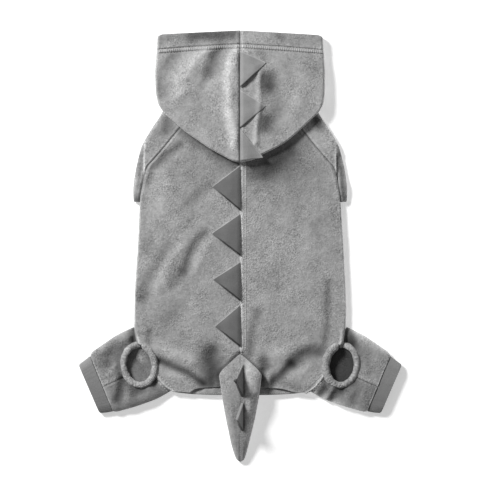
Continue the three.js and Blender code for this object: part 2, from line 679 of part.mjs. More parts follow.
// A triangle of felt standing on the tail, leaning to the left
function standingSpike(row) {
  const top = (y) => {
    const k = TAIL.findIndex((r) => r.y < y);
    const [a, b] = [TAIL[k - 1], TAIL[k]];
    return THREE.MathUtils.lerp(a.top, b.top, (y - a.y) / (b.y - a.y));
  };
  const steps = 4;
  const across = 6;
  const grids = [-1, 1].map((face) => {
    const rows = [];
    for (let i = 0; i <= steps; i++) {
      const out = (i / steps) * STANDING_BLUNT;
      const half = (FELT / 2) * (1 - STANDING_TAPER * out) * face;
      const points = [];
      for (let k = 0; k <= across; k++) {
        const baseY = THREE.MathUtils.lerp(row.baseTop, row.baseEnd, k / across);
        const x = THREE.MathUtils.lerp(TAIL_SPIKE_BASE, row.tipX, out);
        const y = THREE.MathUtils.lerp(baseY, row.tipY, out);
        points.push(new THREE.Vector3(x + half, y, top(baseY) + GAP + row.height * out));
      }
      rows.push(points);
    }
    return rows;
  });
  return between(grids[0], grids[1]);
}

function seamStrip() {
  const steps = 16;
  const rows = [];
  for (let i = 0; i <= steps; i++) {
    const y = THREE.MathUtils.lerp(STRIP.top, STRIP.end, i / steps);
    rows.push([STRIP.left, STRIP.right].map((x) => new THREE.Vector3(x, y, backTop(x, y) + GAP)));
  }
  const raised = rows.map((row) => row.map((p) => p.clone().setZ(p.z + TAPE)));
  return between(raised, rows);
}

// The suit

const suit = new THREE.Group();

function add(name, geometry, finish) {
  const mesh = new THREE.Mesh(geometry, new THREE.MeshStandardMaterial(FINISH[finish]));
  mesh.name = name;
  suit.add(mesh);
}

for (const side of SIDES) {
  add(`back_${side.name}`, backPanel(side), "fleece");
  add(`sleeve_${side.name}`, sleeve(side), "fleece");
  add(`hood_${side.name}`, hoodPanel(side), "hoodFleece");
  add(`hind_leg_${side.name}_front`, legPanel(side, true), "fleece");
  add(`hind_leg_${side.name}_rear`, legPanel(side, false), "fleece");
  add(`ring_${side.name}`, ring(side), "fleece");
  add(`cuff_${side.name}`, cuff(side), "rib");
  add(`tail_${side.name}`, tailHalf(side), "fleece");
}
add("belly", bellyPanel(), "fleece");
add("centre_seam_strip", seamStrip(), "fleece");
BACK_SPIKES.forEach((row, i) => add(`back_spike_${i + 1}`, lyingSpike(row, backTop, 0), "felt"));
HOOD_SPIKES.forEach((row, i) => {
  add(`hood_spike_${i + 1}`, lyingSpike(row, hoodTop, HOOD_SPIKE_LIFT), "felt");
});
TAIL_SPIKES.forEach((row, i) => add(`tail_spike_${i + 1}`, standingSpike(row), "felt"));

export default suit;
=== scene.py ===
import math
from bisect import bisect_right
from collections import namedtuple

import bmesh
import bpy
from mathutils import Matrix, Vector, noise
from mathutils.bvhtree import BVHTree
from mathutils.interpolate import poly_3d_calc


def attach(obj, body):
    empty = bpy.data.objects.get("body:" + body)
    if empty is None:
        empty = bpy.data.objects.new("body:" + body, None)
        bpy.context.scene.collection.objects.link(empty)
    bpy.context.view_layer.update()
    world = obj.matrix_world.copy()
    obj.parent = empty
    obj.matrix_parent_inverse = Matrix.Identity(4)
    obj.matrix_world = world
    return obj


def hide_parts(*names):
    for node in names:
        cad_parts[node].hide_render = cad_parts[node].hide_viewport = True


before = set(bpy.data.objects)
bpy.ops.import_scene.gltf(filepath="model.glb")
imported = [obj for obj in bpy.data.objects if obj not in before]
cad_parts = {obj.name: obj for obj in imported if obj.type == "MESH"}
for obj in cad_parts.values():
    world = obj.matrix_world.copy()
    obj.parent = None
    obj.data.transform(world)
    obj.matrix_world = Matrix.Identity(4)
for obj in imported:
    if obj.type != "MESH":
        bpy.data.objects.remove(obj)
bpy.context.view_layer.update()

MM = 0.001
BODY = "root"


def table(columns, *rows):
    """Rows of numbers with named columns."""
    kind = namedtuple("Row", columns)
    return [kind(*row) for row in rows]


# Cloth: its thickness, the gaps between pieces, the rounding of cut edges, and how uneven it lies
FLEECE = 2.6
RIB_KNIT = 2
FELT = {"back_felt": 2.1, "hood_felt": 1.7}
TAPE = 1
GAP = 0.3
HALF_GAP = GAP / 2
SLOPED_GAP = GAP * 1.35
RIM_ROUND = 0.6
UNEVEN, UNEVEN_WIDE = 0.35, 17

# A seam: how deep it sinks, how far beside it, and the shade painted in it; the welts along it, the
# highlight painted on them (more on the crotch seams), and its puckers
SEAM_SINK, SEAM_REACH, SEAM_SHADE = 0.65, 0.9, -0.2
WELT, WELT_AT, WELT_WIDE = 0.5, 2.1, 1.1
WELT_HIGHLIGHT, CROTCH_WELT_HIGHLIGHT = 0.09, 0.3
PUCKER, PUCKER_REACH, PUCKER_LONG = 0.45, 9, 5.5

# How strongly each seam shows, as a share of a full one, and what the slant of an edge leaves of a
# distance across the suit
CENTRE_SEAM, HOOD_SEAM, LEG_SEAM, RAGLAN_SEAM, CROTCH_SEAM = 0.3, 0.35, 0.45, 0.6, 0.8
# The share of a seam's painted shade and highlight that the sleeves' raglan seams take
RAGLAN_SEAM_SHADING = 0.7
EDGE_SLANT, CROTCH_SLANT = 0.75, 0.72

# Heights of the outer faces above the surface
BACK_TOP = 8.6
SIDE_SEAM = FLEECE + GAP + 1
HOOD_REST = BACK_TOP + 0.4
HOOD_MOUTH_TOP = 13.2
HOOD_CROWN_TOP = 17.4
HOOD_LEAST_TOP = HOOD_REST + 2 * FLEECE + 0.6
CUFF_TOP = 9
LEG_LEAST_TOP = 2 * FLEECE + 0.8
RING_CUT_LOW = FLEECE + 0.4

# Lengths along the suit
NECK = 147.7
SLEEVE_END = 45.5

# How far in from an edge the cloth starts to roll over it, the most of a section that it may take,
# the back's columns on the flat, and the highlight painted on rolled edges (by side) and the back's
# hem
BACK_ROLL, SLEEVE_ROLL, LEG_ROLL = 2, 5, 8
HOOD_MOUTH_ROLL, HOOD_CROWN_ROLL = 2.6, 2.2
MOST_ROLL_SHARE = 0.7
BACK_FLAT_SHARE = 0.93
RIM_HIGHLIGHTS, RIM_WIDE = {-1: 0.12, 1: 0.45}, 1.7
HEM_HIGHLIGHT, HEM_HIGHLIGHT_WIDE = 0.12, 1.2

# Where along the suit the back's sides change from lying open at a seam to rolling down
ROLL_UNDER_SLEEVE = (62, 42)
ROLL_AT_RING = (-92, -76)

# Side edges of the back: half-widths to the left and to the right
BODY_SIDE = table("y left right",
    (40, 103.9, 103.9), (28, 104.4, 104.6), (14, 105, 105.6), (0, 105.7, 106.4),
    (-16, 106.8, 107.2), (-32, 108, 108), (-48, 108.7, 108.8), (-64, 109.2, 109.2),
    (-83, 109.3, 108.6), (-95, 107.6, 106.8), (-105, 104.4, 105), (-118, 97, 97),
    (-130.4, 89.6, 89.6), (-139.5, 80.4, 80.4), (-144.5, 71.3, 71.3)
)
# How far the rear hem reaches down past them, by the distance from the centre seam
REAR_DIPS = {
    "left": [(0, 0.2), (22, 0.3), (40, 1.2), (46.4, 2.4), (52.9, 6), (60, 5.4), (71.3, 4.4)],
    "right": [(0, 0.2), (22, 0.5), (36, 1.4), (44.7, 2.6), (56.5, 5.4), (67, 6.2), (71.3, 5.8)],
}
REAR_DIP_FROM = -128

# The belly's puffed rear hem, the shade painted inside the legs, and the painted highlight of the lump
# in the left one
BELLY_HEM, BELLY_HEM_HALF = -150.6, 67
BELLY_HEM_BOW, BELLY_HEM_PUFF = 2.6, 4
BELLY_HEM_RIPPLE, BELLY_HEM_TONE = 0.25, -0.05
BELLY_ROW_IN, BELLY_ROW_END = 1.6, 62
UNDER_LEG_LAP = 0.5
INSIDE_SHADE = {"left": -0.25, "right": -0.6}
LUMP_X, LUMP_Y, LUMP_WIDE, LUMP_RISE, LUMP_HIGHLIGHT = -101.5, -117, 5.5, 1.4, 0.3

# Sleeve sections from the neck to the wrist: raglan seam, outer fold, and the armhole on the floor.
# Shares are where, along a section, its floor side ends and its roll ends.
SLEEVE = table("seam_x seam_y edge_x edge_y armhole_x armhole_y",
    (42.8, NECK, 75.6, NECK, 60.3, NECK), (53.2, 133.7, 82.4, 135, 61, 133),
    (64, 120.4, 91.5, 121, 62.3, 118), (79.6, 101.1, 101.8, 102.5, 66, 99),
    (90.5, 88.5, 106, 87.5, 71, 84), (96.2, 81.7, 107.7, 79.5, 76, 74),
    (99.4, 72.6, 109.2, 70.5, 82, 64), (101.8, 60, 110.4, 59, 90, 54),
    (103.6, 49.6, 110.2, 48.5, 97, 47), (103.8, SLEEVE_END, 109.6, 45.8, 100, 45.6)
)
SLEEVE_SHARES = (0.2, 0.5)
SLEEVE_DROP_SHARE = 0.6
SLEEVE_STEP = 2.6
SLEEVE_STEP_X = (98.6, 100.2)
SLEEVE_STEP_LOW, SLEEVE_STEP_HIGH = (64, 74), (113, 107)
# The shade painted on the left sleeve and the highlight painted on the right one
SLEEVE_SHADES = {"left": -0.06, "right": 0.03}

# Hood sections from the mouth to the tip: where the centre seam is, and the outline to each side
HOOD = table("seam_y left_x left_y right_x right_y",
    (222.1, 85.2, 218.2, 85.1, 217.4), (209.4, 85.9, 205.2, 85.8, 204.6),
    (196, 87.1, 192.5, 86.6, 192), (184, 87.9, 181.5, 87.3, 181),
    (172, 87.7, 170.5, 87.4, 170), (160, 87.1, 159.5, 87.2, 159),
    (148, 84.9, 148, 85.8, 148), (141, 79.6, 138.6, 81.2, 138.6),
    (135, 67.3, 127.4, 73.3, 130.7), (129, 54.5, 116.4, 60, 118.2),
    (123, 42, 107.7, 47.5, 107.7), (117, 29.3, 99.2, 35, 100.3),
    (111, 16.5, 92.2, 23, 94.4), (105, 5.5, 87, 12, 88.6), (101, HALF_GAP, 86.3, HALF_GAP, 86.3)
)
HOOD_SHARES = (0.16, 0.36)
HOOD_NECK = 148
HOOD_FOOT_BLEND = (143, 154)
HOOD_CROWN_FROM = 150
HOOD_MOUTH_AT = 222
HOOD_HALF_WIDTH = 86
HOOD_SIDE_FALL = 1.6
HOOD_SEAM_DEPTH, HOOD_SEAM_WIDE = 1.4, 1.6
HOOD_FOLD_FADE = (198, 208)
HOOD_CORNER = 3.6

# Rows of the hood's grid: all of them, the one at the neck where the floor side is open, and those
# that crowd at the hem, with their depths from the mouth
HOOD_ROWS, HOOD_OPEN_ROW = 116, 52
HOOD_HEM_ROWS = [(80, 22), (106, 12.2)]
HOOD_OPEN_SHARE = HOOD_SHARES[0] + 0.09

# The hood's hem: its depth, the band between its two needle rows, and their grooves, with shade
# painted in the grooves and highlight on the band
HEM_DEPTH, HEM_SAG, HEM_BAND = 14, 1.5, 4.4
HEM_RISE, BAND_RISE, HEM_STEP_WIDE = 0.7, 0.25, 0.5
BAND_GROOVE, GROOVE_WIDE = 0.8, 0.75
GROOVE_SHADE, BAND_HIGHLIGHT = 0.15, 0.08

# Hind leg sections from the body to the cuff: the upper and the lower edge, and the height
LEG = table("up_x up_y low_x low_y top",
    (109.9, -83.2, 71.6, -149.3, 7.8), (118.8, -87.2, 85.8, -157.2, 9.6),
    (127.8, -91.8, 98, -161.9, 11.2), (137, -97.9, 108.5, -165.4, 11.8),
    (145.5, -103.8, 118.5, -168.3, 11.6), (152.4, -108.8, 127.5, -170.5, 10.4),
    (154.6, -112.8, 131, -170.1, 9.4)
)
LEG_SEAM_SHARE = 0.555
LEG_LONG = 50
LEG_SHARES = (0.22, 0.46)
LEG_UNDER_LAP, LEG_UNDER_LIFT = 8, 0.5
LEG_TUCK = 3.4
LEG_TUCK_X, LEG_TUCK_Y = (116, 107.5), (-112, -103)
LEG_END_RISE, LEG_END_AT, LEG_END_WIDE = 0.3, 1.4, 2.4
# The highlight painted on the leg's raised end, and how far from the cuff it is
LEG_END_HIGHLIGHT, LEG_END_HIGHLIGHT_AT = 0.2, 1.6
# The shade (below 0) and highlight painted on each leg panel
LEG_SHADES = {
    ("left", "front"): -0.09, ("left", "rear"): -0.17,
    ("right", "front"): 0.03, ("right", "rear"): -0.12,
}

# Cuff sections from the leg's end, and how full, rounded and ribbed a cuff is
CUFF = table("up_x up_y low_x low_y",
    (155, -113.2, 131.4, -170.3), (160.7, -117.6, 138, -171.4), (166.6, -122, 144.9, -172)
)
CUFF_ACROSS, CUFF_RISE, CUFF_FLAT = 0.6, 0.9, 1.25
CUFF_CORNER, CUFF_LONG = 1.4, 14.5
CUFF_SHADE = {"left": (0.05, -0.14), "right": (0.08, -0.1)}
RIBS, RIB_DEPTH = 46, 0.05

# Hip openings: a bound ellipse a side, leaning with its top away from the body. The tube starts
# and ends at angles, sinks under the body at its end, and beds into the leg.
RING_X, RING_Y = 104.1, -122.2
RING_WIDE, RING_LONG = 16, 20.6
RING_LEAN = 0.14
RING_CUT_OUT, RING_COVER_OUT = 0.8, 4
RING_TUBE = 3.3
RING_HIGH, RING_LOW = 8.9, 3.4
RING_START = 1.88
RING_END = RING_START + 2 * math.pi + 0.1
RING_SINKS = (7.3, 7.95)
RING_BODY_SIDE = {"left": 0.05, "right": 0.3}
# How deep the tube beds into the leg, how wide the bed is, and the shade painted in it
RING_BED, RING_BED_WIDE, RING_BED_SHADE = 2, 4.5, -0.16
RING_CLOSES = 0.03
RING_WOBBLE, RING_WOBBLE_LONG = 0.5, 9
RING_NAP, RING_NAP_LONG, RING_NAP_TONE = 0.3, 2.4, 0.3
RING_FLATNESS = 0.85
# Where the legs' inner edges meet the body, from the top to the hem: along the suit and across
CROTCH = {
    "left": [(-76, 104), (-104, 104), (-112, 108), (-130.7, 90), (-149.2, 71)],
    "right": [(-76, 104), (-104, 104), (-112, 108), (-131.5, 89), (-150.4, 68.6)],
}
CROTCH_SEAM_FROM = -126

# Tail sections from its pointed root to its tip
TAIL = table("y left right low top",
    (-110.9, 0.4, 0.4, 9, 9.6), (-116, 6.4, 6.8, 9, 16), (-122, 13, 13.4, 9, 20.4),
    (-128, 19.2, 19.4, 9, 23), (-133, 21.7, 22, 9, 24.2), (-141, 20.6, 21.2, 9, 25),
    (-150, 19.4, 20.2, 9, 25), (-158, 18.2, 19, 5, 24), (-167, 16.8, 17.2, 1.5, 22.2),
    (-178, 14.7, 15.1, 0, 19.6), (-191, 12, 12, 0, 16.2), (-204, 9.2, 8.8, 0, 12.6),
    (-214, 6.2, 6.2, 0, 9.4), (-220, 3.6, 3.9, 0.4, 6.8), (-222.1, 0.6, 0.9, 1.6, 4.4)
)
TAIL_ACROSS, TAIL_FLAT = 0.9, 1.12
# How deep the back sinks around the tail's root and how far, and the shade painted there
TAIL_ROOT_SINK, TAIL_ROOT_REACH, TAIL_ROOT_SHADE = 1.8, 2.6, -0.28
TAIL_SEAM, TAIL_SEAM_THICK = 0.4, 12
# Painted light on the tail's right flank against the spikes' shadow; a painted shadow in the slit
# right of their bases, where it is and how wide
TAIL_FLANK_LIGHT, TAIL_FLANK_X = 0.26, (3, 8)
TAIL_SLIT_SHADOW, TAIL_SLIT_X, TAIL_SLIT_WIDE = -0.8, 3.2, 1.2
TAIL_CLEAR = 0.05

# How the tail is blown up: the moves' share, where along it they fade, and the cloth simulation
TAIL_SWELL = 0.6
TAIL_SWELLS_FROM, TAIL_SWELLS_TO = (-222, -200), (-112, -126)
TAIL_VOXEL, TAIL_PRESSURE, TAIL_FRAMES, TAIL_CAP, TAIL_SLACK = 4, 4.0, 20, 2.5, 0.96

# Spikes that lie flat: the ends of the sewn base, and the tip
SPIKE = "base_top base_end tip_x tip_y"
BACK_SPIKES = table(SPIKE,
    (83.5, 37, -29.3, 61.4), (33.8, -9.5, -30, 13.3), (-15.8, -56, -28.4, -33.9),
    (-59.9, -103.1, -26.5, -82.4)
)
HOOD_SPIKES = table(SPIKE,
    (200.8, 163.8, 26.8, 188.9), (160.6, 122, 26, 144.1), (120.5, 87.8, 23.6, 91.2)
)
HOOD_SPIKE_LIFTS = (2.2, 0.3, 0.4)
BACK_SPIKE_LIFTS = (2, 2.4, 2.4, 1.8)
SPIKE_BASE, SPIKE_BLUNT = 0.1, 0.975
SPIKE_PUFF, SPIKE_EDGE, SPIKE_SLANT = 0.5, 3, 0.8
SPIKE_BASE_SINK, SPIKE_BASE_SOFT = 1.1, 1.6
SPIKE_TIP_LIFT, SPIKE_TIP_SINK = 0.5, 1.7
# How bright the highlight painted on a spike's upper rim is, how dark the shadow painted in the slit
# below its lower one, and the slit's width
SPIKE_RIM_LIGHT_AND_SLIT_SHADOW = {"back_felt": (0.72, 0.55, 1.1), "hood_felt": (0.18, 0.3, 0.5)}

# Spikes that stand on the tail, leaning to the left
TAIL_SPIKES = table(SPIKE + " height",
    (-120.7, -155.6, -5.6, -136.3, 23), (-159.7, -190.5, -3.7, -178.1, 20)
)
TAIL_SPIKE_BASE = 2.2
STANDING_FELT, STANDING_TAPER, STANDING_THICK_SHARE = 2.8, 0.4, 0.85
# The highlight painted on a standing spike's upper edge, the shadow painted on its lower one, and the
# light painted on its face
STANDING_RIM_HIGHLIGHT, STANDING_SLIT_SHADOW, STANDING_FACE_LIGHT = 0.26, -0.5, 0.14

# The tape right of the centre seam, with its two rows of stitches
STRIP_LEFT, STRIP_RIGHT = -0.5, 6.3
STRIP_TOP, STRIP_END = 88, -111
# How high the tape's crown stands, and how much lighter the tape is, twice that on its crown as
# painted highlight
STRIP_CROWN, STRIP_TONE_AND_HIGHLIGHT = 0.9, 0.13
STRIP_TAPER, STRIP_EDGE = 4, 0.3
STRIP_LINES, STRIP_LINE_WIDE = (4.6, 5.8), 0.4

# Stitches: how long one is, how far apart they start, and the thread's radius
PLAIN = (2.4, 3.1, 0.34)
LADDER = (3.5, 2.2, 0.5)
FINE = (1.7, 2.3, 0.3)
BOLD = (2.0, 2.9, 0.44)
THREAD_FLAT, THREAD_RISE = 0.8, 0.35
# The steepest cloth that takes a stitch, and the rows' distances from a crotch seam and a ring
STEEPEST = 0.3
CROTCH_ROW = 2.9
RING_ROWS, RING_ROWS_SPAN = (0.2, 1.5), (1.8, 5.0)

# What each sheet was cut to, flat: its width and length, and the share of them that it fills
CUTS = {
    "back": (111, 298, 0.87), "belly": (218, 301, 0.84), "sleeve": (61, 105, 0.85),
    "hood": (184, 136, 0.83), "leg_front": (78, 54, 0.88), "leg_rear": (76, 60, 0.86),
    "cuff": (118, 14.6, 1),
}
SPIKE_CUT_SHARE = 0.52

CAMERA_X, CAMERA_Y, CAMERA_Z = -0.2, 6.5, 3441
LENS = 250

# Folds of each surface: how wide a fold is, how high (or deep), how much lighter it is painted there,
# as painted highlight on a ridge (or darker, below 0, as painted shade in a hollow), and the points
# of its line in plan. A fold of no height is only painted, such as the shadow along the hood's edge.
BACK_FOLDS = (
    (5.5, -3, -0.22, (-35.5, 13.3), (-45, 2.3), (-52.9, -16.6), (-57.6, -27.6)),
    (5, -1.2, -0.1, (-57.6, -27.6), (-68.6, -40.2)),
    (6, 1, 0.03, (-33, 3), (-42, -12), (-48, -26)),
    (7, 1.6, 0.05, (-63.9, -0.8), (-76.5, -24.5), (-86, -41.8)),
    (6.5, -2, -0.15, (-71.8, -0.8), (-84.6, -21.3), (-95.4, -40.2), (-100.1, -56)),
    (6, -1.4, -0.12, (-29, 61), (-39.3, 55), (-51, 45)),
    (9, 0, -0.1, (-54.4, 38.6), (-58, 34)),
    (6, 0, -0.1, (-96.2, 6), (-97, -2)),
    (4.5, -2.2, -0.17, (-60.8, 103.2), (-76.5, 90.6), (-89.1, 78), (-93, 66)),
    (9, 0.9, 0.03, (-74, 60), (-82, 30)),
    (9, -0.9, -0.1, (-60, -62), (-78, -88)),
    (4, -1.6, -0.14, (-91.7, -90), (-91.7, -99.7)),
    (3.6, -3.2, -0.5, (-84, -117), (-67.4, -124.4), (-52.9, -131), (-38.5, -141)),
    (6, 1.6, 0.08, (-76, -109), (-62, -113), (-50, -118)),
    (7, 1.3, 0.05, (-66, -133), (-54, -139)),
    (9.4, -3.6, -0.52, (-29, -110), (-30.5, -141)),
    (6, 1.2, 0.06, (-15, -98), (-9, -106)),
    (5, -1.4, -0.12, (-16, -118), (-22, -126)),
    (5, -1.8, -0.17, (18.1, -68.6), (14, -89.2), (10.4, -110.5)),
    (4.5, -1.7, -0.13, (93, -40.2), (91, -80), (89.6, -104)),
    (12, -0.4, -0.09, (32.3, -32.3), (36, -28)),
    (7, -0.8, -0.08, (78, 20), (80, 12)),
    (7, -3.2, -0.4, (81.4, -109.3), (66, -111.1), (55.4, -119.9)),
    (4.4, -3.2, -0.45, (53, -121.5), (44.7, -131.8), (33, -141.5)),
    (7, 1.3, 0.06, (66, -101), (48, -107), (36, -112)),
    (7, 1.1, 0.03, (74, -121), (56, -134)),
    (6, -2.6, -0.36, (25.2, -119), (26, -124)),
    (2.6, -2.4, -0.3, (24, -128), (24, -144)),
    (3.2, 1.5, 0.1, (29.6, -131), (29.6, -142)),
    (2.6, -1, -0.12, (44, -141), (60, -147)),
    (9, 0, -0.32, (12, 76), (25, 76), (38, 88), (50, 98)),
    (22, 0, -0.17, (34, 74), (60, 80)),
    (12, 0, -0.14, (26, 84), (50, 98), (70, 114)),
    (12, 0, -0.08, (36, 84), (40, 80)),
    (7, 0, -0.32, (-4, 84), (-20, 94), (-42, 107), (-64, 124), (-76, 138)),
    (20, 0, -0.1, (-20, 76), (-56, 84)),
)
HOOD_FOLDS = (
    (5.6, 3, 0, (-5, 198), (-9.2, 178), (-10, 157), (-8.8, 138), (-7.2, 122), (-4.4, 105)),
    (3.4, 1.4, 0.05, (-2.6, 198), (-3.2, 178), (-3.2, 110)),
    (3, 1.2, 0.12, (-4, 203), (-9, 197), (-12.5, 188)),
    (5.2, 0, 0.19, (-11, 190), (-14.2, 178), (-15, 157.5), (-13.5, 138.6), (-10.6, 122), (-7, 104)),
    (2.8, 1.9, 0.02, (21, 178), (20.4, 154), (16.4, 107)),
    (2.2, 0, 0.05, (18.8, 180), (18.3, 154), (14.4, 107)),
    (6.6, -3.2, -0.24, (-20.5, 204), (-24, 193), (-29.5, 179)),
    (6, -1.6, -0.08, (-31, 176), (-36, 166)),
    (8, 2.6, 0.12, (-36, 199), (-48, 184), (-60.8, 172), (-62, 158)),
    (7, -2.6, -0.17, (-64, 198), (-72, 188), (-82, 170), (-80, 156)),
    (8, -2.8, -0.5, (30, 173), (30, 166)),
    (7, -2.3, -0.42, (28, 128), (27.4, 122)),
    (4, -0.8, -0.12, (22.8, 199), (26, 193)),
    (3.6, 0.6, 0.08, (6, 202), (12, 203)),
    (8, -0.8, -0.06, (38, 196), (50, 180)),
    (9, 1.2, 0.04, (62, 176), (56, 140)),
    (9, -0.9, -0.07, (-42, 150), (-28, 122)),
    (10, 0, -0.2, (32, 156), (36, 138)),
    (10, 0, -0.05, (60, 196), (76, 184)),
    (6.5, 0, -0.46, (-50, 216), (-30, 217), (-9, 218)),
    (6, 0, -0.15, (-82, 213), (-62, 214)),
    (7, 0, -0.08, (34, 216), (60, 214), (80, 213)),
    (4, -0.5, -0.18, (40, 217.5), (43, 215)),
)
SLEEVE_FOLDS = (
    (1, 0, 0.3, (-98.6, 108), (-98.6, 76)),
    (3, 0, -0.14, (-102.4, 106), (-103, 92), (-104.5, 60)),
    (1, 0, 0.3, (98.5, 108), (98.6, 76)),
    (2.4, 0, -0.34, (101.2, 106), (102.2, 92), (104, 78), (106, 52)),
    (6, -1.4, -0.5, (79, 129), (81, 126)),
    (5, -0.8, -0.26, (-75, 128), (-78, 120)),
    (3.5, 0, -0.3, (-106, 48), (-107, 44)),
    (3.5, 0, -0.3, (106, 48), (107, 44)),
)
LEG_FOLDS = (
    (8.5, -3.2, -0.2, (-131, -106), (-136, -122)),
    (3.2, 1.5, 0.08, (-127.8, -122), (-136, -133)),
    (4.4, -3.4, -0.32, (-121.5, -136), (-123, -148), (-125.5, -158)),
    (5.5, -1.8, -0.2, (-103, -149), (-108, -151)),
    (3.2, -2, -0.2, (-87, -137), (-88, -144)),
    (6, 1.2, 0.06, (-94, -147), (-98, -153)),
    (5, 1.2, 0.06, (-136, -146), (-134, -158)),
    (3.4, -2.2, -0.36, (-109.5, -84), (-110, -98)),
    (6.5, -1.2, -0.6, (111, -82), (113.5, -101)),
    (6, 0, -0.12, (119, -100), (122, -106)),
    (3.6, -3, -0.34, (87.6, -147.6), (81, -153)),
    (4.2, -3, -0.34, (105, -148.5), (100, -150.7), (94, -156)),
    (3.4, 1.6, 0.08, (96, -146), (89, -153)),
    (7, -1.4, -0.14, (131, -112), (135, -130)),
    (5, -1.2, -0.12, (121, -142), (119, -160)),
)
FOLD_WANDER, FOLD_LONG = 1.4, 26
FOLD_SWELL, FOLD_SWELL_LONG = 0.4, 13
FOLD_REACH = 2.6
EYE_POWER, DARKEST = 2.2, -0.9

SIDES = (("left", -1), ("right", 1))


# Numbers and curves

def clamp(value, low=0.0, high=1.0):
    return min(max(value, low), high)


def mix(a, b, share):
    return a + (b - a) * share


def smooth(low, high, at):
    """0 at low and 1 at high, with soft ends. low may be the greater of the two."""
    t = clamp((at - low) / (high - low))
    return t * t * (3 - 2 * t)


def bell(distance, wide):
    return math.exp(-((distance / wide) ** 2))


class Profile:
    """A smooth curve through the values of a table, which never passes beyond them."""

    def __init__(self, pairs):
        self.keys, self.values = zip(*sorted(pairs))
        rates = [
            (self.values[i + 1] - self.values[i]) / (self.keys[i + 1] - self.keys[i])
            for i in range(len(self.keys) - 1)
        ]
        inner = [2 * a * b / (a + b) if a * b > 0 else 0 for a, b in zip(rates, rates[1:])]
        self.slopes = [rates[0], *inner, rates[-1]]

    def __call__(self, at):
        at = clamp(at, self.keys[0], self.keys[-1])
        i = min(bisect_right(self.keys, at), len(self.keys) - 1) - 1
        step = self.keys[i + 1] - self.keys[i]
        t = (at - self.keys[i]) / step
        rise = step * (t * (1 - t) ** 2 * self.slopes[i] - t * t * (1 - t) * self.slopes[i + 1])
        return mix(self.values[i], self.values[i + 1], t * t * (3 - 2 * t)) + rise


def over(rows, key, value):
    """The curve of one column of a table over another."""
    return Profile([(getattr(row, key), getattr(row, value)) for row in rows])


def sections(rows):
    """A function from a share of the way along a table to the row there."""
    curves = [Profile(enumerate(column)) for column in zip(*rows)]
    return lambda share: type(rows[0])(*(curve(share * (len(rows) - 1)) for curve in curves))


REAR_DIP = {name: Profile(pairs) for name, pairs in REAR_DIPS.items()}
TAIL_HALF = over(TAIL, "y", "left")


def crowded(share):
    """Runs from 0 to 1 with small steps at both ends, where seams need finer cloth."""
    return share - math.sin(2 * math.pi * share) * 0.09


def uneven(x, y, size, seed=0.0):
    """Smooth noise around 0 with swells of a size. Each use has a seed of its own."""
    return noise.noise(Vector((x / size, y / size, seed)))


# Surfaces

def off_line(points, x, y):
    """The distance in plan from a line through points."""
    nearest = math.inf
    for (x1, y1), (x2, y2) in zip(points, points[1:]):
        run_x, run_y = x2 - x1, y2 - y1
        along = clamp(((x - x1) * run_x + (y - y1) * run_y) / (run_x**2 + run_y**2))
        nearest = min(nearest, math.hypot(x - x1 - along * run_x, y - y1 - along * run_y))
    return nearest


def folds(rows, x, y):
    """The height and the painted light and shade of folds at a point. Each wanders and swells as it
    goes.
    """
    x += FOLD_WANDER * uneven(x, y, FOLD_LONG, 3)
    y += FOLD_WANDER * uneven(x, y, FOLD_LONG, 7)
    height = tone = 0
    for wide, rise, painted_light, *line in rows:
        off = off_line(line, x, y)
        if off < FOLD_REACH * wide:
            share = bell(off, wide)
            uneven_rise = rise * (1 + FOLD_SWELL * uneven(x, y, FOLD_SWELL_LONG, line[0][0]))
            height += uneven_rise * share
            tone += painted_light * share
    return height, tone


def seam_dip(distance, along, seed=0.0):
    """How far the cloth sinks beside a seam, and the puckers that the stitches draw up there."""
    sink = SEAM_SINK * bell(distance, SEAM_REACH)
    welt = WELT * bell(distance - WELT_AT, WELT_WIDE)
    ripple = PUCKER * uneven(along, distance / 3, PUCKER_LONG, seed) * bell(distance, PUCKER_REACH)
    return ripple + welt - sink


def seam_shade_and_highlight(distance, welt=WELT_HIGHLIGHT):
    """Painted shade in the seam, and painted highlight on the welts beside it."""
    return welt * bell(distance - WELT_AT, WELT_WIDE) + SEAM_SHADE * bell(distance, SEAM_REACH)


def waves(x, y, seed):
    """The low unevenness of cloth that lies loose."""
    return UNEVEN * (uneven(x, y, UNEVEN_WIDE, seed) + 0.5 * uneven(x, y, UNEVEN_WIDE / 2.2, seed + 5))


def back_relief(x, y):
    height, tone = folds(BACK_FOLDS, x, y)
    beside_tail = abs(x) - TAIL_HALF(y) if y < TAIL[0].y + 2 else math.inf
    root = bell(max(beside_tail, 0), TAIL_ROOT_REACH)
    return height + waves(x, y, 0) - TAIL_ROOT_SINK * root, tone + TAIL_ROOT_SHADE * root


def back_top(x, y):
    return BACK_TOP + back_relief(x, y)[0]


def side_roll(y):
    """1 where the back rolls down to the side seam, 0 where it meets a sleeve, a ring or a leg."""
    return 1 - smooth(*reversed(ROLL_UNDER_SLEEVE), y) if y > 0 else smooth(*ROLL_AT_RING, y)


def hood_relief(x, y):
    height, tone = folds(HOOD_FOLDS, x, y)
    return height * (1 - smooth(*HOOD_FOLD_FADE, y)) + waves(x, y, 2), tone


def hood_top(x, y):
    crown = mix(HOOD_CROWN_TOP, HOOD_MOUTH_TOP, smooth(HOOD_CROWN_FROM, HOOD_MOUTH_AT, y))
    fall = HOOD_SIDE_FALL * (x / HOOD_HALF_WIDTH) ** 2
    seam = HOOD_SEAM_DEPTH * bell(x, HOOD_SEAM_WIDE)
    top = crown - fall - seam + hood_relief(x, y)[0]
    return max(top, HOOD_LEAST_TOP) if y < HOOD_NECK else top


def leg_relief(x, y):
    height, tone = folds(LEG_FOLDS, x, y)
    return height + waves(x, y, 4), tone


def rounding(share):
    """1 half way round an edge, 0 on the flat."""
    return 4 * share * (1 - share)


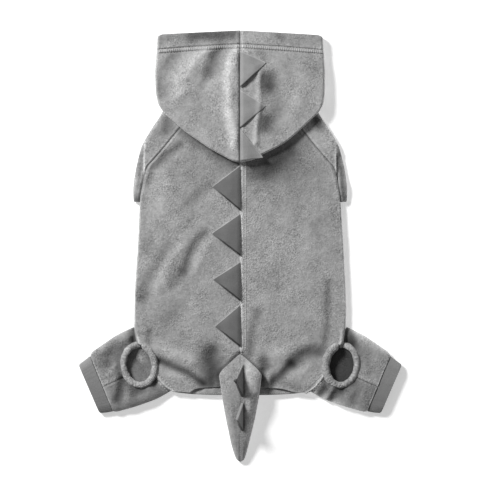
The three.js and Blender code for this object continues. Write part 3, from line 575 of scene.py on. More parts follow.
def bent(u, shares, lower_end, edge, upper_end, low, top_at, roll):
    """A point of a section of cloth bent round an edge, and how far round the edge it is.

    It runs along the floor side from its lower end to the edge, round it, and back over the top.
    """
    into_upper, into_lower = upper_end - edge, lower_end - edge
    reach = min(roll, MOST_ROLL_SHARE * into_upper.length, MOST_ROLL_SHARE * into_lower.length)
    upper, lower = into_upper.normalized(), into_lower.normalized()
    foot, crest = edge + lower * reach, edge + upper * reach
    flat, round_end = shares
    if u < flat:
        place = lower_end.lerp(foot, u / flat)
        return Vector((place.x, place.y, low)), 0
    if u < round_end:
        angle = math.pi * ((u - flat) / (round_end - flat) - 0.5)
        share = (math.sin(angle) + 1) / 2
        place = edge + lower.lerp(upper, share) * (reach * (1 - math.cos(angle)))
        return Vector((place.x, place.y, mix(low, top_at(crest.x, crest.y), share))), share
    place = crest.lerp(upper_end, (u - round_end) / (1 - round_end))
    return Vector((place.x, place.y, top_at(place.x, place.y))), 1


# Shader tools

class Wire:
    """A socket of a material. Sums and products of wires add their Math nodes."""

    def __init__(self, finish, socket):
        self.finish, self.socket = finish, socket

    def math(self, operation, first, second=0.0):
        return self.finish.node("Math", {"operation": operation}, {0: first, 1: second})

    def __add__(self, other):
        return self.math("ADD", self, other)

    def __sub__(self, other):
        return self.math("SUBTRACT", self, other)

    def __mul__(self, other):
        return self.math("MULTIPLY", self, other)


class Finish:
    """A material under way: each node is added by its type, its settings and its sockets."""

    def __init__(self, name):
        self.material = bpy.data.materials.new(name)
        self.material.use_nodes = True
        self.tree = self.material.node_tree
        self.tree.nodes.clear()

    def node(self, kind, settings=None, sockets=None, output=0):
        node = self.tree.nodes.new("ShaderNode" + kind)
        for name, value in (settings or {}).items():
            setattr(node, name, value)
        for name, value in (sockets or {}).items():
            if isinstance(value, Wire):
                self.tree.links.new(value.socket, node.inputs[name])
            else:
                node.inputs[name].default_value = value
        return Wire(self, node.outputs[output]) if len(node.outputs) else node

    def tone(self):
        """How much lighter than the rest the mesh paints a place, mostly as painted shade and
        highlight.
        """
        return self.node("Attribute", {"attribute_name": "tone"}, output="Fac")

    def mottle(self, size, detail=2.0):
        """Soft blotches of a size in millimetres, around 0."""
        place = self.node("TexCoord", output="Object")
        sockets = {"Vector": place, "Scale": 1 / (size * MM), "Detail": detail, "Roughness": 0.6}
        return self.node("TexNoise", None, sockets) - 0.5

    def surface(self, level, roughness, height, depth, **plain):
        """The shader of a neutral grey surface: its level of grey, roughness, and bump in mm."""
        grey = self.node("CombineColor", None, {"Red": level, "Green": level, "Blue": level})
        bump = self.node("Bump", None, {"Height": height, "Distance": depth * MM, "Strength": 1.0})
        sockets = {"Base Color": grey, "Roughness": roughness, "Normal": bump}
        sockets.update({name.replace("_", " "): value for name, value in plain.items()})
        shader = self.node("BsdfPrincipled", None, sockets)
        self.node("OutputMaterial", None, {"Surface": shader})
        return self.material


def fleece(name, grey):
    """Short brushed pile: tufts that lean this way and that, with the mesh's painted shade and
    highlight.
    """
    f = Finish(name)
    nap = f.mottle(1.5, 3.0)
    tuft = f.mottle(4.2)
    sweep = f.mottle(21, 1.5)
    ruffled = f.node("MapRange", {"interpolation_type": "SMOOTHSTEP"}, {
        "Value": f.mottle(17), "From Min": -0.12, "From Max": 0.12,
        "To Min": 0.45, "To Max": 1.35})
    pile = nap * ruffled * 1.7 + tuft * 0.7 + sweep * 0.8 + 1.0
    level = pile * (f.tone() + 1.0) * grey
    height = nap * ruffled + tuft * 0.6
    return f.surface(level, nap * 0.2 + 0.93, height, 0.9, Sheen_Weight=0.5, Sheen_Roughness=0.5)


def felt(name, grey):
    """Dense smooth felt with fine fibres across it; the mesh's tone paints highlight and shadow at its
    edges.
    """
    f = Finish(name)
    fibre = f.mottle(0.9, 4.0)
    cloud = f.mottle(9)
    level = (fibre * 0.5 + cloud * 0.3 + 1.0) * (f.tone() + 1.0) * grey
    return f.surface(level, fibre * 0.15 + 0.88, fibre, 0.35, Sheen_Weight=0.15, Sheen_Roughness=0.5)


def rib_knit(name, grey):
    """Fine rib: the ribs are in the mesh, and the rows of loops along each rib are here."""
    f = Finish(name)
    yarn = f.mottle(0.8, 3.0)
    cloud = f.mottle(7)
    level = (yarn * 0.5 + cloud * 0.25 + f.tone() + 1.0) * grey
    return f.surface(level, yarn * 0.1 + 0.85, yarn, 0.5, Sheen_Weight=0.1)


def thread(name, grey):
    f = Finish(name)
    twist = f.mottle(0.5, 1.0)
    return f.surface((twist * 0.4 + 1.0) * grey, twist * 0.1 + 0.6, twist, 0.1, Sheen_Weight=0.1)


FINISHES = {name: finish(name, grey) for name, finish, grey in (
    ("body_fleece", fleece, 0.343), ("hood_fleece", fleece, 0.36), ("binding_fleece", fleece, 0.345),
    ("tail_fleece", fleece, 0.3), ("rib_knit", rib_knit, 0.235), ("back_felt", felt, 0.131),
    ("hood_felt", felt, 0.285), ("thread", thread, 0.48),
)}


# Mesh tools

def as_seen(tone):
    """The share of light for a share of brightness to the eye."""
    return (1 + max(tone, DARKEST)) ** EYE_POWER - 1


def grid(columns, rows, place, torn=None):
    """A grid of quads on a surface. place(u, v) gives a point and its tone, u and v from 0 to 1.

    A tone is how much lighter (or darker, below 0) the place is painted than the rest, mostly painted
    shade and highlight. torn(u, v) says which quads are left out.
    """
    bm = bmesh.new()
    tones = bm.verts.layers.float.new("tone")
    bmesh.ops.create_grid(bm, x_segments=columns, y_segments=rows, size=0.5)
    if torn:
        centres = [(face, face.calc_center_median()) for face in bm.faces]
        out = [face for face, centre in centres if torn(centre.x + 0.5, centre.y + 0.5)]
        bmesh.ops.delete(bm, geom=out, context="FACES")
    for vert in bm.verts:
        point, tone = place(vert.co.x + 0.5, vert.co.y + 0.5)
        vert.co = point * MM
        vert[tones] = as_seen(tone)
    return bm


def face_up(bm):
    """Turns the faces so that those of the top side look up."""
    bm.normal_update()
    highest = sorted(bm.faces, key=lambda face: -face.calc_center_median().z)[: len(bm.faces) // 8]
    if sum(face.normal.z for face in highest) < 0:
        bmesh.ops.reverse_faces(bm, faces=bm.faces)


def trim(bm, inside, onto, above=-1):
    """Takes the faces inside an outline away, and draws the edge that is left onto it."""
    high = [vert for vert in bm.verts if vert.co.z > above * MM]
    hidden = {vert for vert in high if inside(vert.co.x / MM, vert.co.y / MM)}
    whole = [face for face in bm.faces if all(vert in hidden for vert in face.verts)]
    bmesh.ops.delete(bm, geom=whole, context="FACES")
    for vert in bm.verts:
        if vert in hidden:
            x, y = onto(vert.co.x / MM, vert.co.y / MM)
            vert.co.x, vert.co.y = x * MM, y * MM


def drop_folded(bm):
    """Takes away the faces of the floor side that a trim has turned over."""
    face_up(bm)
    bm.normal_update()
    turned = [face for face in bm.faces if face.calc_center_median().z < MM and face.normal.z > 0]
    bmesh.ops.delete(bm, geom=turned, context="FACES")


def linked(name, data):
    """A new object of some data, in the scene."""
    thing = bpy.data.objects.new(name, data)
    bpy.context.scene.collection.objects.link(thing)
    return thing


def made(bm, name, slot, nodes):
    """The object of a finished mesh, with its finish, in place of its nodes."""
    for face in bm.faces:
        face.smooth = True
    mesh = bpy.data.meshes.new(name)
    bm.to_mesh(mesh)
    bm.free()
    mesh.materials.append(FINISHES[slot])
    piece = linked(name, mesh)
    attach(piece, BODY)
    if nodes:
        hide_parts(*nodes)
    return piece


def cloth(bm, name, slot, nodes, thickness):
    """A sheet of cloth under its outer face, with soft edges."""
    face_up(bm)
    piece = made(bm, name, slot, nodes)
    wall = piece.modifiers.new("thickness", "SOLIDIFY")
    wall.thickness = thickness * MM
    wall.offset = -1
    rim = piece.modifiers.new("rim", "BEVEL")
    rim.width = min(RIM_ROUND, thickness * 0.4) * MM
    rim.segments = 2
    rim.limit_method = "ANGLE"
    rim.angle_limit = math.radians(50)
    return piece


# Pieces

def back_panel(name, sign):
    raglan = [(row.seam_y, row.seam_x - SLOPED_GAP) for row in SLEEVE]
    edges = Profile(raglan + [(row.y, getattr(row, name)) for row in BODY_SIDE])
    hem = BODY_SIDE[-1].y

    def place(u, v):
        y = mix(hem, NECK, v)
        edge = edges(y)
        flat = edge - BACK_ROLL
        turn = clamp((u - BACK_FLAT_SHARE) / (1 - BACK_FLAT_SHARE)) * math.pi / 2
        x = mix(HALF_GAP, flat, crowded(min(u / BACK_FLAT_SHARE, 1))) + BACK_ROLL * math.sin(turn)
        bend = REAR_DIP[name](x) * smooth(REAR_DIP_FROM, hem, y)
        rolled = side_roll(y)
        drop = rolled * (BACK_TOP - SIDE_SEAM) * (1 - math.cos(turn))
        relief, tone = back_relief(sign * x, y - bend)
        side_seam = (1 - rolled) * (RAGLAN_SEAM if y > 0 else 1)
        beside = (edge - x) * EDGE_SLANT
        welt = WELT_HIGHLIGHT if y > ROLL_AT_RING[0] else CROTCH_WELT_HIGHLIGHT
        seams = CENTRE_SEAM * seam_dip(x, y, 11) + side_seam * seam_dip(beside, y, 13 * sign)
        tone += CENTRE_SEAM * seam_shade_and_highlight(x) + side_seam * seam_shade_and_highlight(beside, welt)
        # Painted highlight along the rolled sides and the hem
        tone += RIM_HIGHLIGHTS[sign] * rolled * bell(edge - x, RIM_WIDE)
        tone += HEM_HIGHLIGHT * bell(y - hem, HEM_HIGHLIGHT_WIDE)
        return Vector((sign * x, y - bend, BACK_TOP + relief + seams - drop)), tone

    bm = grid(96, 200, place)
    cut_ring(bm, sign)
    return cloth(bm, f"back_{name}_cloth", "body_fleece", [f"back_{name}"], FLEECE)


def ring_share(sign, x, y, out):
    """Where a point lies in the ring's ellipse, in which the outline is at a distance of 1."""
    x, y = sign * x - RING_X, y - RING_Y
    along = x * math.cos(RING_LEAN) - y * math.sin(RING_LEAN)
    up = x * math.sin(RING_LEAN) + y * math.cos(RING_LEAN)
    return Vector((along / (RING_WIDE + out), up / (RING_LONG + out)))


def ring_point(sign, angle, out):
    x, y = (RING_WIDE + out) * math.cos(angle), (RING_LONG + out) * math.sin(angle)
    turned_x = x * math.cos(RING_LEAN) + y * math.sin(RING_LEAN)
    turned_y = y * math.cos(RING_LEAN) - x * math.sin(RING_LEAN)
    return sign * (RING_X + turned_x), RING_Y + turned_y


def ring_bed(sign, x, y):
    """1 in the bed beside a ring's tube, which presses the cloth down there."""
    return bell(max(ring_share(sign, x, y, RING_TUBE).length - 1, 0) * RING_LONG, RING_BED_WIDE)


def cut_ring(bm, sign):
    """Cuts a hip opening into the upper side of a panel."""
    def onto(x, y):
        q = ring_share(sign, x, y, RING_CUT_OUT)
        return ring_point(sign, math.atan2(q.y, q.x), RING_CUT_OUT)

    trim(bm, lambda x, y: ring_share(sign, x, y, RING_CUT_OUT).length < 1, onto, RING_CUT_LOW)


def sleeve(name, sign):
    section = sections(SLEEVE)

    def place(u, v):
        at = section(v)
        drop = side_roll(at.seam_y) * (BACK_TOP - SIDE_SEAM) * SLEEVE_DROP_SHARE
        edge = Vector((sign * at.edge_x, at.edge_y))
        seam = Vector((sign * at.seam_x, at.seam_y))
        under = Vector((sign * at.armhole_x, at.armhole_y))

        def top(x, y):
            beside = (Vector((x, y)) - seam).length
            step = SLEEVE_STEP * smooth(*SLEEVE_STEP_X, abs(x))
            step *= smooth(*SLEEVE_STEP_LOW, y) * smooth(*SLEEVE_STEP_HIGH, y)
            relief = RAGLAN_SEAM * seam_dip(beside, y, 17 * sign) + waves(x, y, 6)
            return BACK_TOP - drop - step + relief

        point, share = bent(u, SLEEVE_SHARES, under, edge, seam, 0, top, SLEEVE_ROLL)
        # Painted shade and highlight of the folds, each sleeve, its rim and the raglan seam
        tone = folds(SLEEVE_FOLDS, point.x, point.y)[1] if share > 0.4 else 0
        tone += SLEEVE_SHADES[name] + RIM_HIGHLIGHTS[sign] * rounding(share)
        return point, tone + RAGLAN_SEAM_SHADING * seam_shade_and_highlight((point.xy - seam).length)

    bm = grid(56, 76, place)
    return cloth(bm, f"sleeve_{name}_cloth", "body_fleece", [f"sleeve_{name}"], FLEECE)


def hem_sag(x):
    """How much deeper the hood's hem is turned towards its sides."""
    return HEM_SAG * (x / HOOD_HALF_WIDTH) ** 2


def hem_step(deep, at):
    return smooth(at - HEM_STEP_WIDE, at + HEM_STEP_WIDE, deep)


def grooves(deep):
    """1 where the needle threads of the hood's hem press into the pile, 0 away from them."""
    return bell(deep - HEM_DEPTH, GROOVE_WIDE) + bell(deep - HEM_DEPTH - HEM_BAND, GROOVE_WIDE)


def hood_panel(name, sign):
    edge_x, edge_y = (over(HOOD, "seam_y", f"{name}_{axis}") for axis in "xy")
    mouth = HOOD[0].seam_y
    spread = [(row, mouth - deep) for row, deep in HOOD_HEM_ROWS]
    spread = Profile([(0, HOOD[-1].seam_y), (HOOD_OPEN_ROW, HOOD_NECK), *spread, (HOOD_ROWS, mouth)])

    def place(u, v):
        s = spread(v * HOOD_ROWS)

        def top(x, y):
            deep = mouth - s - hem_sag(x)
            hem = HEM_RISE * (1 - smooth(HEM_DEPTH - 0.8, HEM_DEPTH + 0.2, deep))
            band = BAND_RISE * (hem_step(deep, HEM_DEPTH) - hem_step(deep, HEM_DEPTH + HEM_BAND))
            lines = BAND_GROOVE * grooves(deep)
            return hood_top(x, y) + hem + band - lines + HOOD_SEAM * seam_dip(abs(x), y, 19)

        corner = max(HOOD_CORNER - mouth + s, 0) / HOOD_CORNER
        rounded = HOOD_CORNER * (1 - math.sqrt(1 - corner**2))
        edge = Vector((sign * (edge_x(s) - rounded), edge_y(s)))
        centre = Vector((sign * HALF_GAP, s))
        to_mouth = smooth(*HOOD_FOOT_BLEND, s)
        foot = mix(HOOD_REST, 0, to_mouth)
        roll = mix(HOOD_CROWN_ROLL, HOOD_MOUTH_ROLL, to_mouth)
        point, share = bent(u, HOOD_SHARES, centre, edge, centre, foot, top, roll)
        if u < HOOD_SHARES[0]:
            rest = HOOD_REST if v * HOOD_ROWS < HOOD_OPEN_ROW + 0.5 else 0
            point.z = mix(rest, foot, smooth(0.5, 1, u / HOOD_SHARES[0]))
        # Painted highlight on the rolled rim, and the painted shade and highlight of folds, seam and
        # hem
        tone = RIM_HIGHLIGHTS[sign] * rounding(share)
        if share > 0.5:
            deep = mouth - s - hem_sag(point.x)
            in_band = bell(deep - HEM_DEPTH - HEM_BAND / 2, HEM_BAND / 2)
            tone += hood_relief(point.x, point.y)[1] + seam_shade_and_highlight(abs(point.x))
            tone += BAND_HIGHLIGHT * in_band - GROOVE_SHADE * grooves(deep)
        return point, tone

    def torn(u, v):
        return u < HOOD_OPEN_SHARE and HOOD_OPEN_ROW < v * HOOD_ROWS < HOOD_OPEN_ROW + 1

    bm = grid(84, HOOD_ROWS, place, torn)
    return cloth(bm, f"hood_{name}_cloth", "hood_fleece", [f"hood_{name}"], FLEECE)


def ends(at, sign):
    """The upper and the lower end of a section of a leg or a cuff."""
    return Vector((sign * at.up_x, at.up_y)), Vector((sign * at.low_x, at.low_y))


def leg_panel(name, sign, front):
    section = sections(LEG)
    crotch = Profile(CROTCH[name])
    part = "front" if front else "rear"

    def to_body(x, y):
        return max(abs(x) - crotch(y), 0) * CROTCH_SLANT

    def place(u, v):
        at = section(v)
        to_cuff = (1 - v) * LEG_LONG
        up, low = ends(at, sign)
        share = HALF_GAP / (up - low).length * (-1 if front else 1)
        seam = up.lerp(low, LEG_SEAM_SHARE + share)

        def top(x, y):
            beside = (Vector((x, y)) - seam).length
            tuck = LEG_TUCK * smooth(*LEG_TUCK_X, abs(x)) * smooth(*LEG_TUCK_Y, y)
            height = max(at.top + leg_relief(x, y)[0], LEG_LEAST_TOP) - tuck
            height += LEG_SEAM * seam_dip(beside, x, 29) - RING_BED * ring_bed(sign, x, y)
            height += LEG_END_RISE * bell(to_cuff - LEG_END_AT, LEG_END_WIDE)
            if y < CROTCH_SEAM_FROM:
                height += CROTCH_SEAM * seam_dip(to_body(x, y), y, 23)
            return max(height, RING_CUT_LOW + GAP)

        edge = up if front else low
        under = up.lerp(low, 0.5 - share * LEG_UNDER_LAP)
        floor_side = 0 if front else LEG_UNDER_LIFT
        point, share = bent(u, LEG_SHARES, under, edge, seam, floor_side, top, LEG_ROLL)
        # The floor side, seen through the hip opening, is painted in shade
        if share == 0:
            return point, INSIDE_SHADE[name]
        # Painted shade and highlight of each panel, its folds, rim, seams, end and ring bed
        tone = LEG_SHADES[name, part] + leg_relief(point.x, point.y)[1]
        tone += RIM_HIGHLIGHTS[sign] * rounding(share)
        if share == 1:
            tone += LEG_SEAM * seam_shade_and_highlight((point.xy - seam).length)
            tone += LEG_END_HIGHLIGHT * bell(to_cuff - LEG_END_HIGHLIGHT_AT, LEG_END_WIDE)
            tone += RING_BED_SHADE * ring_bed(sign, *point.xy)
            if point.y < CROTCH_SEAM_FROM:
                tone += seam_shade_and_highlight(to_body(*point.xy), CROTCH_WELT_HIGHLIGHT)
        return point, tone

    bm = grid(72, 56, place)
    trim(bm, lambda x, y: sign * x < crotch(y) and y > CROTCH[name][-1][0],
         lambda x, y: (sign * (crotch(y) + 0.1), y))
    cut_ring(bm, sign)
    drop_folded(bm)
    slot = f"hind_leg_{name}_{part}"
    return cloth(bm, f"{slot}_cloth", "body_fleece", [slot], FLEECE)


def bowed(x, half):
    """1 in the middle of the belly's hem, 0 at its ends."""
    return 1 - (x / half) ** 4


def belly():
    crotch = CROTCH["left"]
    sides = [(row.y, min(row.left, row.right)) for row in BODY_SIDE if row.y > -60]
    armholes = [(row.armhole_y, row.armhole_x - SLOPED_GAP) for row in SLEEVE]
    halves = Profile(armholes + sides + crotch + [(BELLY_HEM, BELLY_HEM_HALF)])

    def place(u, v):
        y = mix(BELLY_HEM, NECK, v)
        half = halves(y) + UNDER_LEG_LAP * (crotch[-1][0] < y < crotch[0][0])
        x = mix(-half, half, u)
        bow = BELLY_HEM_BOW * bowed(x, half) * smooth(BELLY_HEM + 8, BELLY_HEM, y)
        puffed = BELLY_HEM_PUFF * bowed(x, half) * smooth(BELLY_HEM + 9, BELLY_HEM + 1, y)
        lump = bell(math.hypot(x - LUMP_X, y - LUMP_Y), LUMP_WIDE)
        # Painted highlight on the lump, and painted shade where the hip openings look down on the
        # belly
        tone = LUMP_HIGHLIGHT * lump
        if puffed > 0:
            tone += BELLY_HEM_TONE + BELLY_HEM_RIPPLE * uneven(x, y, 7, 15)
        for name, sign in SIDES:
            if ring_share(sign, x, y, RING_COVER_OUT).length < 1:
                tone += INSIDE_SHADE[name]
        return Vector((x, y - bow, FLEECE + puffed + LUMP_RISE * lump)), tone

    return cloth(grid(60, 120, place), "belly_cloth", "body_fleece", ["belly"], FLEECE)


def ring(name, sign):
    """A bound tube. Its end at the body lies over its other end, which runs on under the body."""

    def place(u, v):
        angle, turn = mix(RING_START, RING_END, u), 2 * math.pi * v
        around = math.cos(angle) * 30, math.sin(angle) * 30
        nap = uneven(*around, RING_NAP_LONG, turn)
        thick = RING_TUBE + RING_WOBBLE * uneven(*around, RING_WOBBLE_LONG, sign) + RING_NAP * nap
        thick *= 1 + RING_BODY_SIDE[name] * smooth(0.1, 0.8, -math.cos(angle))
        thick *= math.sqrt(clamp(min(u, 1 - u) / RING_CLOSES))
        x, y = ring_point(sign, angle, thick * math.cos(turn))
        middle = mix(RING_HIGH, RING_LOW, smooth(*RING_SINKS, angle))
        z = middle + thick * RING_FLATNESS * math.sin(turn)
        # The inner side of the tube is painted in shade
        inner = smooth(0.2, -0.9, math.cos(turn)) * smooth(0.6, -0.2, math.sin(turn))
        return Vector((x, y, z)), RING_NAP_TONE * nap + inner * INSIDE_SHADE[name]

    bm = grid(160, 16, place)
    bmesh.ops.remove_doubles(bm, verts=bm.verts, dist=0.01 * MM)
    bmesh.ops.recalc_face_normals(bm, faces=bm.faces)
    return made(bm, f"ring_{name}_binding", "binding_fleece", [f"ring_{name}"])


def flattened(value, power, gain):
    return math.copysign(min(1, gain * abs(value) ** power), value)


def cuff(name, sign):
    section = sections(CUFF)

    def place(u, v):
        up, low = ends(section(v), sign)
        angle = 2 * math.pi * u
        rib = RIB_DEPTH * (math.cos(RIBS * angle) - 1)
        corner = clamp(1 - (1 - v) * CUFF_LONG / CUFF_CORNER)
        rounded = CUFF_CORNER * (1 - math.sqrt(1 - corner**2))
        half = (up - low).length / 2 + rib - rounded
        across = flattened(math.cos(angle), CUFF_ACROSS, 1) * half
        rise = flattened(math.sin(angle), CUFF_RISE, CUFF_FLAT) * (CUFF_TOP / 2 + rib)
        middle = up.lerp(low, 0.5) + (up - low).normalized() * across
        shade = mix(*reversed(CUFF_SHADE[name]), (across / half + 1) / 2)
        return Vector((middle.x, middle.y, CUFF_TOP / 2 + rise)), shade

    bm = grid(RIBS * 6, 18, place)
    bmesh.ops.remove_doubles(bm, verts=bm.verts, dist=0.001 * MM)
    return cloth(bm, f"cuff_{name}_knit", "rib_knit", [f"cuff_{name}"], RIB_KNIT)


def under_spike(row, y):
    """1 along the sewn base of a standing spike, 0 beyond its ends."""
    return smooth(row.base_end - 1, row.base_end + 5, y) * smooth(row.base_top, row.base_top - 3, y)


def tail():
    column = {key: over(TAIL, "y", key) for key in TAIL[0]._fields[1:]}

    def place(u, v):
        y = mix(TAIL[-1].y, TAIL[0].y, v)
        angle = 2 * math.pi * u
        sign = 1 if angle < math.pi else -1
        wide = column["right" if sign > 0 else "left"](y)
        low, top = column["low"](y), column["top"](y)
        x = wide * abs(math.sin(angle)) ** TAIL_ACROSS
        rise = flattened(math.cos(angle), 1, TAIL_FLAT)
        z = (top + low) / 2 + (top - low) / 2 * rise
        # Painted shade and highlight of the seam, painted light on the right flank, and a painted
        # shadow in the slit beside the spikes
        tone = TAIL_SEAM * seam_shade_and_highlight(x) + TAIL_FLANK_LIGHT * smooth(*TAIL_FLANK_X, sign * x)
        if rise > 0:
            relief = TAIL_SEAM * seam_dip(x, y, 31) + 0.5 * UNEVEN * uneven(sign * x, y, 9, 8)
            z += clamp((top - low) / TAIL_SEAM_THICK) * relief
            beside = bell(sign * x - TAIL_SLIT_X, TAIL_SLIT_WIDE)
            tone += TAIL_SLIT_SHADOW * beside * max(under_spike(row, y) for row in TAIL_SPIKES)
        return Vector((sign * x, y, max(z, TAIL_CLEAR))), tone

    bm = grid(72, 110, place)
    bmesh.ops.remove_doubles(bm, verts=bm.verts, dist=0.05 * MM)
    holes = [edge for edge in bm.edges if edge.is_boundary]
    bmesh.ops.holes_fill(bm, edges=holes, sides=0)
    bmesh.ops.recalc_face_normals(bm, faces=bm.faces)
    swell(bm)
    return made(bm, "tail_stuffed", "tail_fleece", ["tail_left", "tail_right"])


def settled(piece):
    """The mesh of a piece as its modifiers leave it."""
    return bpy.data.meshes.new_from_object(piece.evaluated_get(bpy.context.evaluated_depsgraph_get()))


def swell(bm):
    """Blows a remeshed, slightly smaller copy up as cloth under pressure, and moves bm as it moved."""
    mesh = bpy.data.meshes.new("tail_form")
    bm.to_mesh(mesh)
    middle_y = (TAIL[0].y + TAIL[-1].y) / 2 * MM
    for vert in mesh.vertices:
        vert.co.x *= TAIL_SLACK
        vert.co.y = middle_y + (vert.co.y - middle_y) * TAIL_SLACK
    form = linked("tail_form", mesh)
    voxels = form.modifiers.new("voxels", "REMESH")
    voxels.mode = "VOXEL"
    voxels.voxel_size = TAIL_VOXEL * MM
    coarse = settled(form)
    start = [vert.co.copy() for vert in coarse.vertices]
    faces = [tuple(face.vertices) for face in coarse.polygons]
    balloon = linked("tail_balloon", coarse)
    air = balloon.modifiers.new("air", "CLOTH")
    air.settings.use_pressure = True
    air.settings.uniform_pressure_force = TAIL_PRESSURE
    air.settings.effector_weights.gravity = 0
    air.point_cache.frame_end = TAIL_FRAMES
    for frame_number in range(1, TAIL_FRAMES + 1):
        bpy.context.scene.frame_set(frame_number)
    ended = settled(balloon)
    moves = [vert.co - begun for vert, begun in zip(ended.vertices, start)]
    bpy.context.scene.frame_set(1)
    near = BVHTree.FromPolygons(start, faces)
    for vert in bm.verts:
        place, normal, index, distance = near.find_nearest(vert.co)
        corners = faces[index]
        weights = poly_3d_calc([start[k] for k in corners], place)
        move = sum((moves[k] * share for k, share in zip(corners, weights)), Vector())
        move.y = 0
        if move.length > TAIL_CAP * MM:
            move.length = TAIL_CAP * MM
        thick = smooth(*TAIL_SWELLS_FROM, vert.co.y / MM) * smooth(*TAIL_SWELLS_TO, vert.co.y / MM)
        vert.co += move * thick * TAIL_SWELL
        vert.co.z = max(vert.co.z, TAIL_CLEAR * MM)
    for piece in (form, balloon):
        bpy.data.objects.remove(piece)
    for leftover in (mesh, coarse, ended):
        bpy.data.meshes.remove(leftover)


def lying_spike(node, slot, row, surface, lift):
    """A triangle of felt on a surface, from its sewn base to its tip."""
    side = math.copysign(1, row.tip_x)
    rim_highlight, slit_shadow, slit = SPIKE_RIM_LIGHT_AND_SLIT_SHADOW[slot]

    def place(u, v):
        out, u = v * SPIKE_BLUNT, u - math.sin(2 * math.pi * u) * 0.14
        base_y = mix(row.base_top, row.base_end, u)
        x, y = mix(-side * SPIKE_BASE, row.tip_x, out), mix(base_y, row.tip_y, out)
        tip_share = smooth(0.1, 0.5, 1 - out)
        curl = lift * u * tip_share + SPIKE_TIP_LIFT * out**2 + 0.3 * uneven(x, y, 10, 12)
        long = (1 - out) * (row.base_top - row.base_end) * SPIKE_SLANT
        upper, lower = u * long, (1 - u) * long
        puff = SPIKE_PUFF * (1 - bell(min(upper, lower), SPIKE_EDGE))
        sunk = SPIKE_BASE_SINK * bell(max(side * x, 0), SPIKE_BASE_SOFT)
        sunk += SPIKE_TIP_SINK * smooth(0.25, 0.8, out)
        # Painted highlight along the upper rim, and a painted shadow beside the lower edge
        light = rim_highlight * (1 - smooth(0.4, 0.9, upper))
        dark = slit_shadow * (1 - smooth(slit, slit + 0.5, lower)) * tip_share
        return Vector((x, y, surface(x, y) + GAP + FELT[slot] + curl + puff - sunk)), light - dark

    bm = grid(28, 24, place)
    return cloth(bm, f"{node}_felt", slot, [node], FELT[slot])


def standing_spike(node, row):
    """A triangle of felt that stands on the tail and leans to the left."""
    tops = over(TAIL, "y", "top")

    def place(u, v):
        out = v * SPIKE_BLUNT
        base_y = mix(row.base_top, row.base_end, u)
        half = STANDING_FELT / 2 * (1 - STANDING_TAPER * out)
        x, y = mix(TAIL_SPIKE_BASE, row.tip_x, out) + half, mix(base_y, row.tip_y, out)
        upper, lower = (share * (1 - out) * (row.base_top - row.base_end) for share in (u, 1 - u))
        # Painted light on the face, highlight along the upper edge, and shadow along the lower one
        tone = STANDING_FACE_LIGHT + STANDING_RIM_HIGHLIGHT * bell(upper, 1.2) + STANDING_SLIT_SHADOW * bell(lower, 1.3)
        return Vector((x, y, tops(base_y) - SEAM_SINK * (1 - out) + row.height * out)), tone

    bm = grid(32, 20, place)
    return cloth(bm, f"{node}_felt", "back_felt", [node], STANDING_FELT * STANDING_THICK_SHARE)


def strip():
    def place(u, v):
        y = mix(STRIP_END, STRIP_TOP, v)
        narrow = STRIP_TAPER * smooth(STRIP_END + 6, STRIP_END, y)
        x = mix(STRIP_LEFT + narrow * 0.3, STRIP_RIGHT - narrow, u)
        crown = smooth(0.8, 0.35, u)
        lines = sum(bell(x - at, STRIP_LINE_WIDE) for at in STRIP_LINES)
        ripple = 0.25 * uneven(x * 2, y, 2.2, 21)
        # Lighter tape with painted highlight on its crown, and painted shade in the stitch lines
        tone = STRIP_TONE_AND_HIGHLIGHT * (1 + crown) + 0.5 * ripple - 0.1 * lines
        height = STRIP_EDGE + STRIP_CROWN * crown + ripple * mix(0.4, 1, crown) - 0.15 * lines
        return Vector((x, y, back_top(x, y) + height)), tone

    bm = grid(16, 260, place)
    return cloth(bm, "centre_seam_strip_tape", "binding_fleece", ["centre_seam_strip"], TAPE)


# Stitches

def trees(pieces):
    graph = bpy.context.evaluated_depsgraph_get()
    return [BVHTree.FromObject(piece, graph) for piece in pieces]


def drop_on(surfaces, x, y):
    """The highest point of the surfaces above or below a place in plan."""
    hits = [t.ray_cast(Vector((x * MM, y * MM, 0.2)), Vector((0, 0, -1))) for t in surfaces]
    hits = [hit for hit in hits if hit[0] is not None]
    return max(hits, key=lambda hit: hit[0].z) if hits else None


def spaced(path, every):
    """Points a fixed distance apart along a path of plan points, with the path's direction."""
    out, carried = [], 0.0
    for (x1, y1), (x2, y2) in zip(path, path[1:]):
        length = math.hypot(x2 - x1, y2 - y1)
        while carried < length:
            t = carried / length
            out.append((mix(x1, x2, t), mix(y1, y2, t), Vector((x2 - x1, y2 - y1, 0)).normalized()))
            carried += every
        carried -= length
    return out


def stitches(name, paths, surfaces, kind=PLAIN, turn=0):
    """Rows of thread laid on the cloth, one small bar for each stitch."""
    long, every, radius = kind
    bm = bmesh.new()
    bm.verts.layers.float.new("tone")
    spin = Matrix.Rotation(turn, 3, "Z")
    for path in paths:
        for x, y, way in spaced(path, every):
            hit = drop_on(surfaces, x, y)
            if hit is None or hit[1].z < STEEPEST:
                continue
            place, normal = hit[:2]
            way = (spin @ way).normalized()
            along = (way - normal * way.dot(normal)).normalized()
            beside = normal.cross(along)
            turned = Matrix((along, beside, normal)).transposed().to_4x4()
            size = Matrix.Diagonal((long / 2 * MM, radius * MM, radius * THREAD_FLAT * MM, 1))
            matrix = Matrix.Translation(place + normal * radius * THREAD_RISE * MM) @ turned @ size
            bmesh.ops.create_uvsphere(bm, u_segments=6, v_segments=4, radius=1, matrix=matrix)
    return made(bm, name, "thread", None)


def line(x1, y1, x2, y2, count=40):
    return [(mix(x1, x2, k / count), mix(y1, y2, k / count)) for k in range(count + 1)]


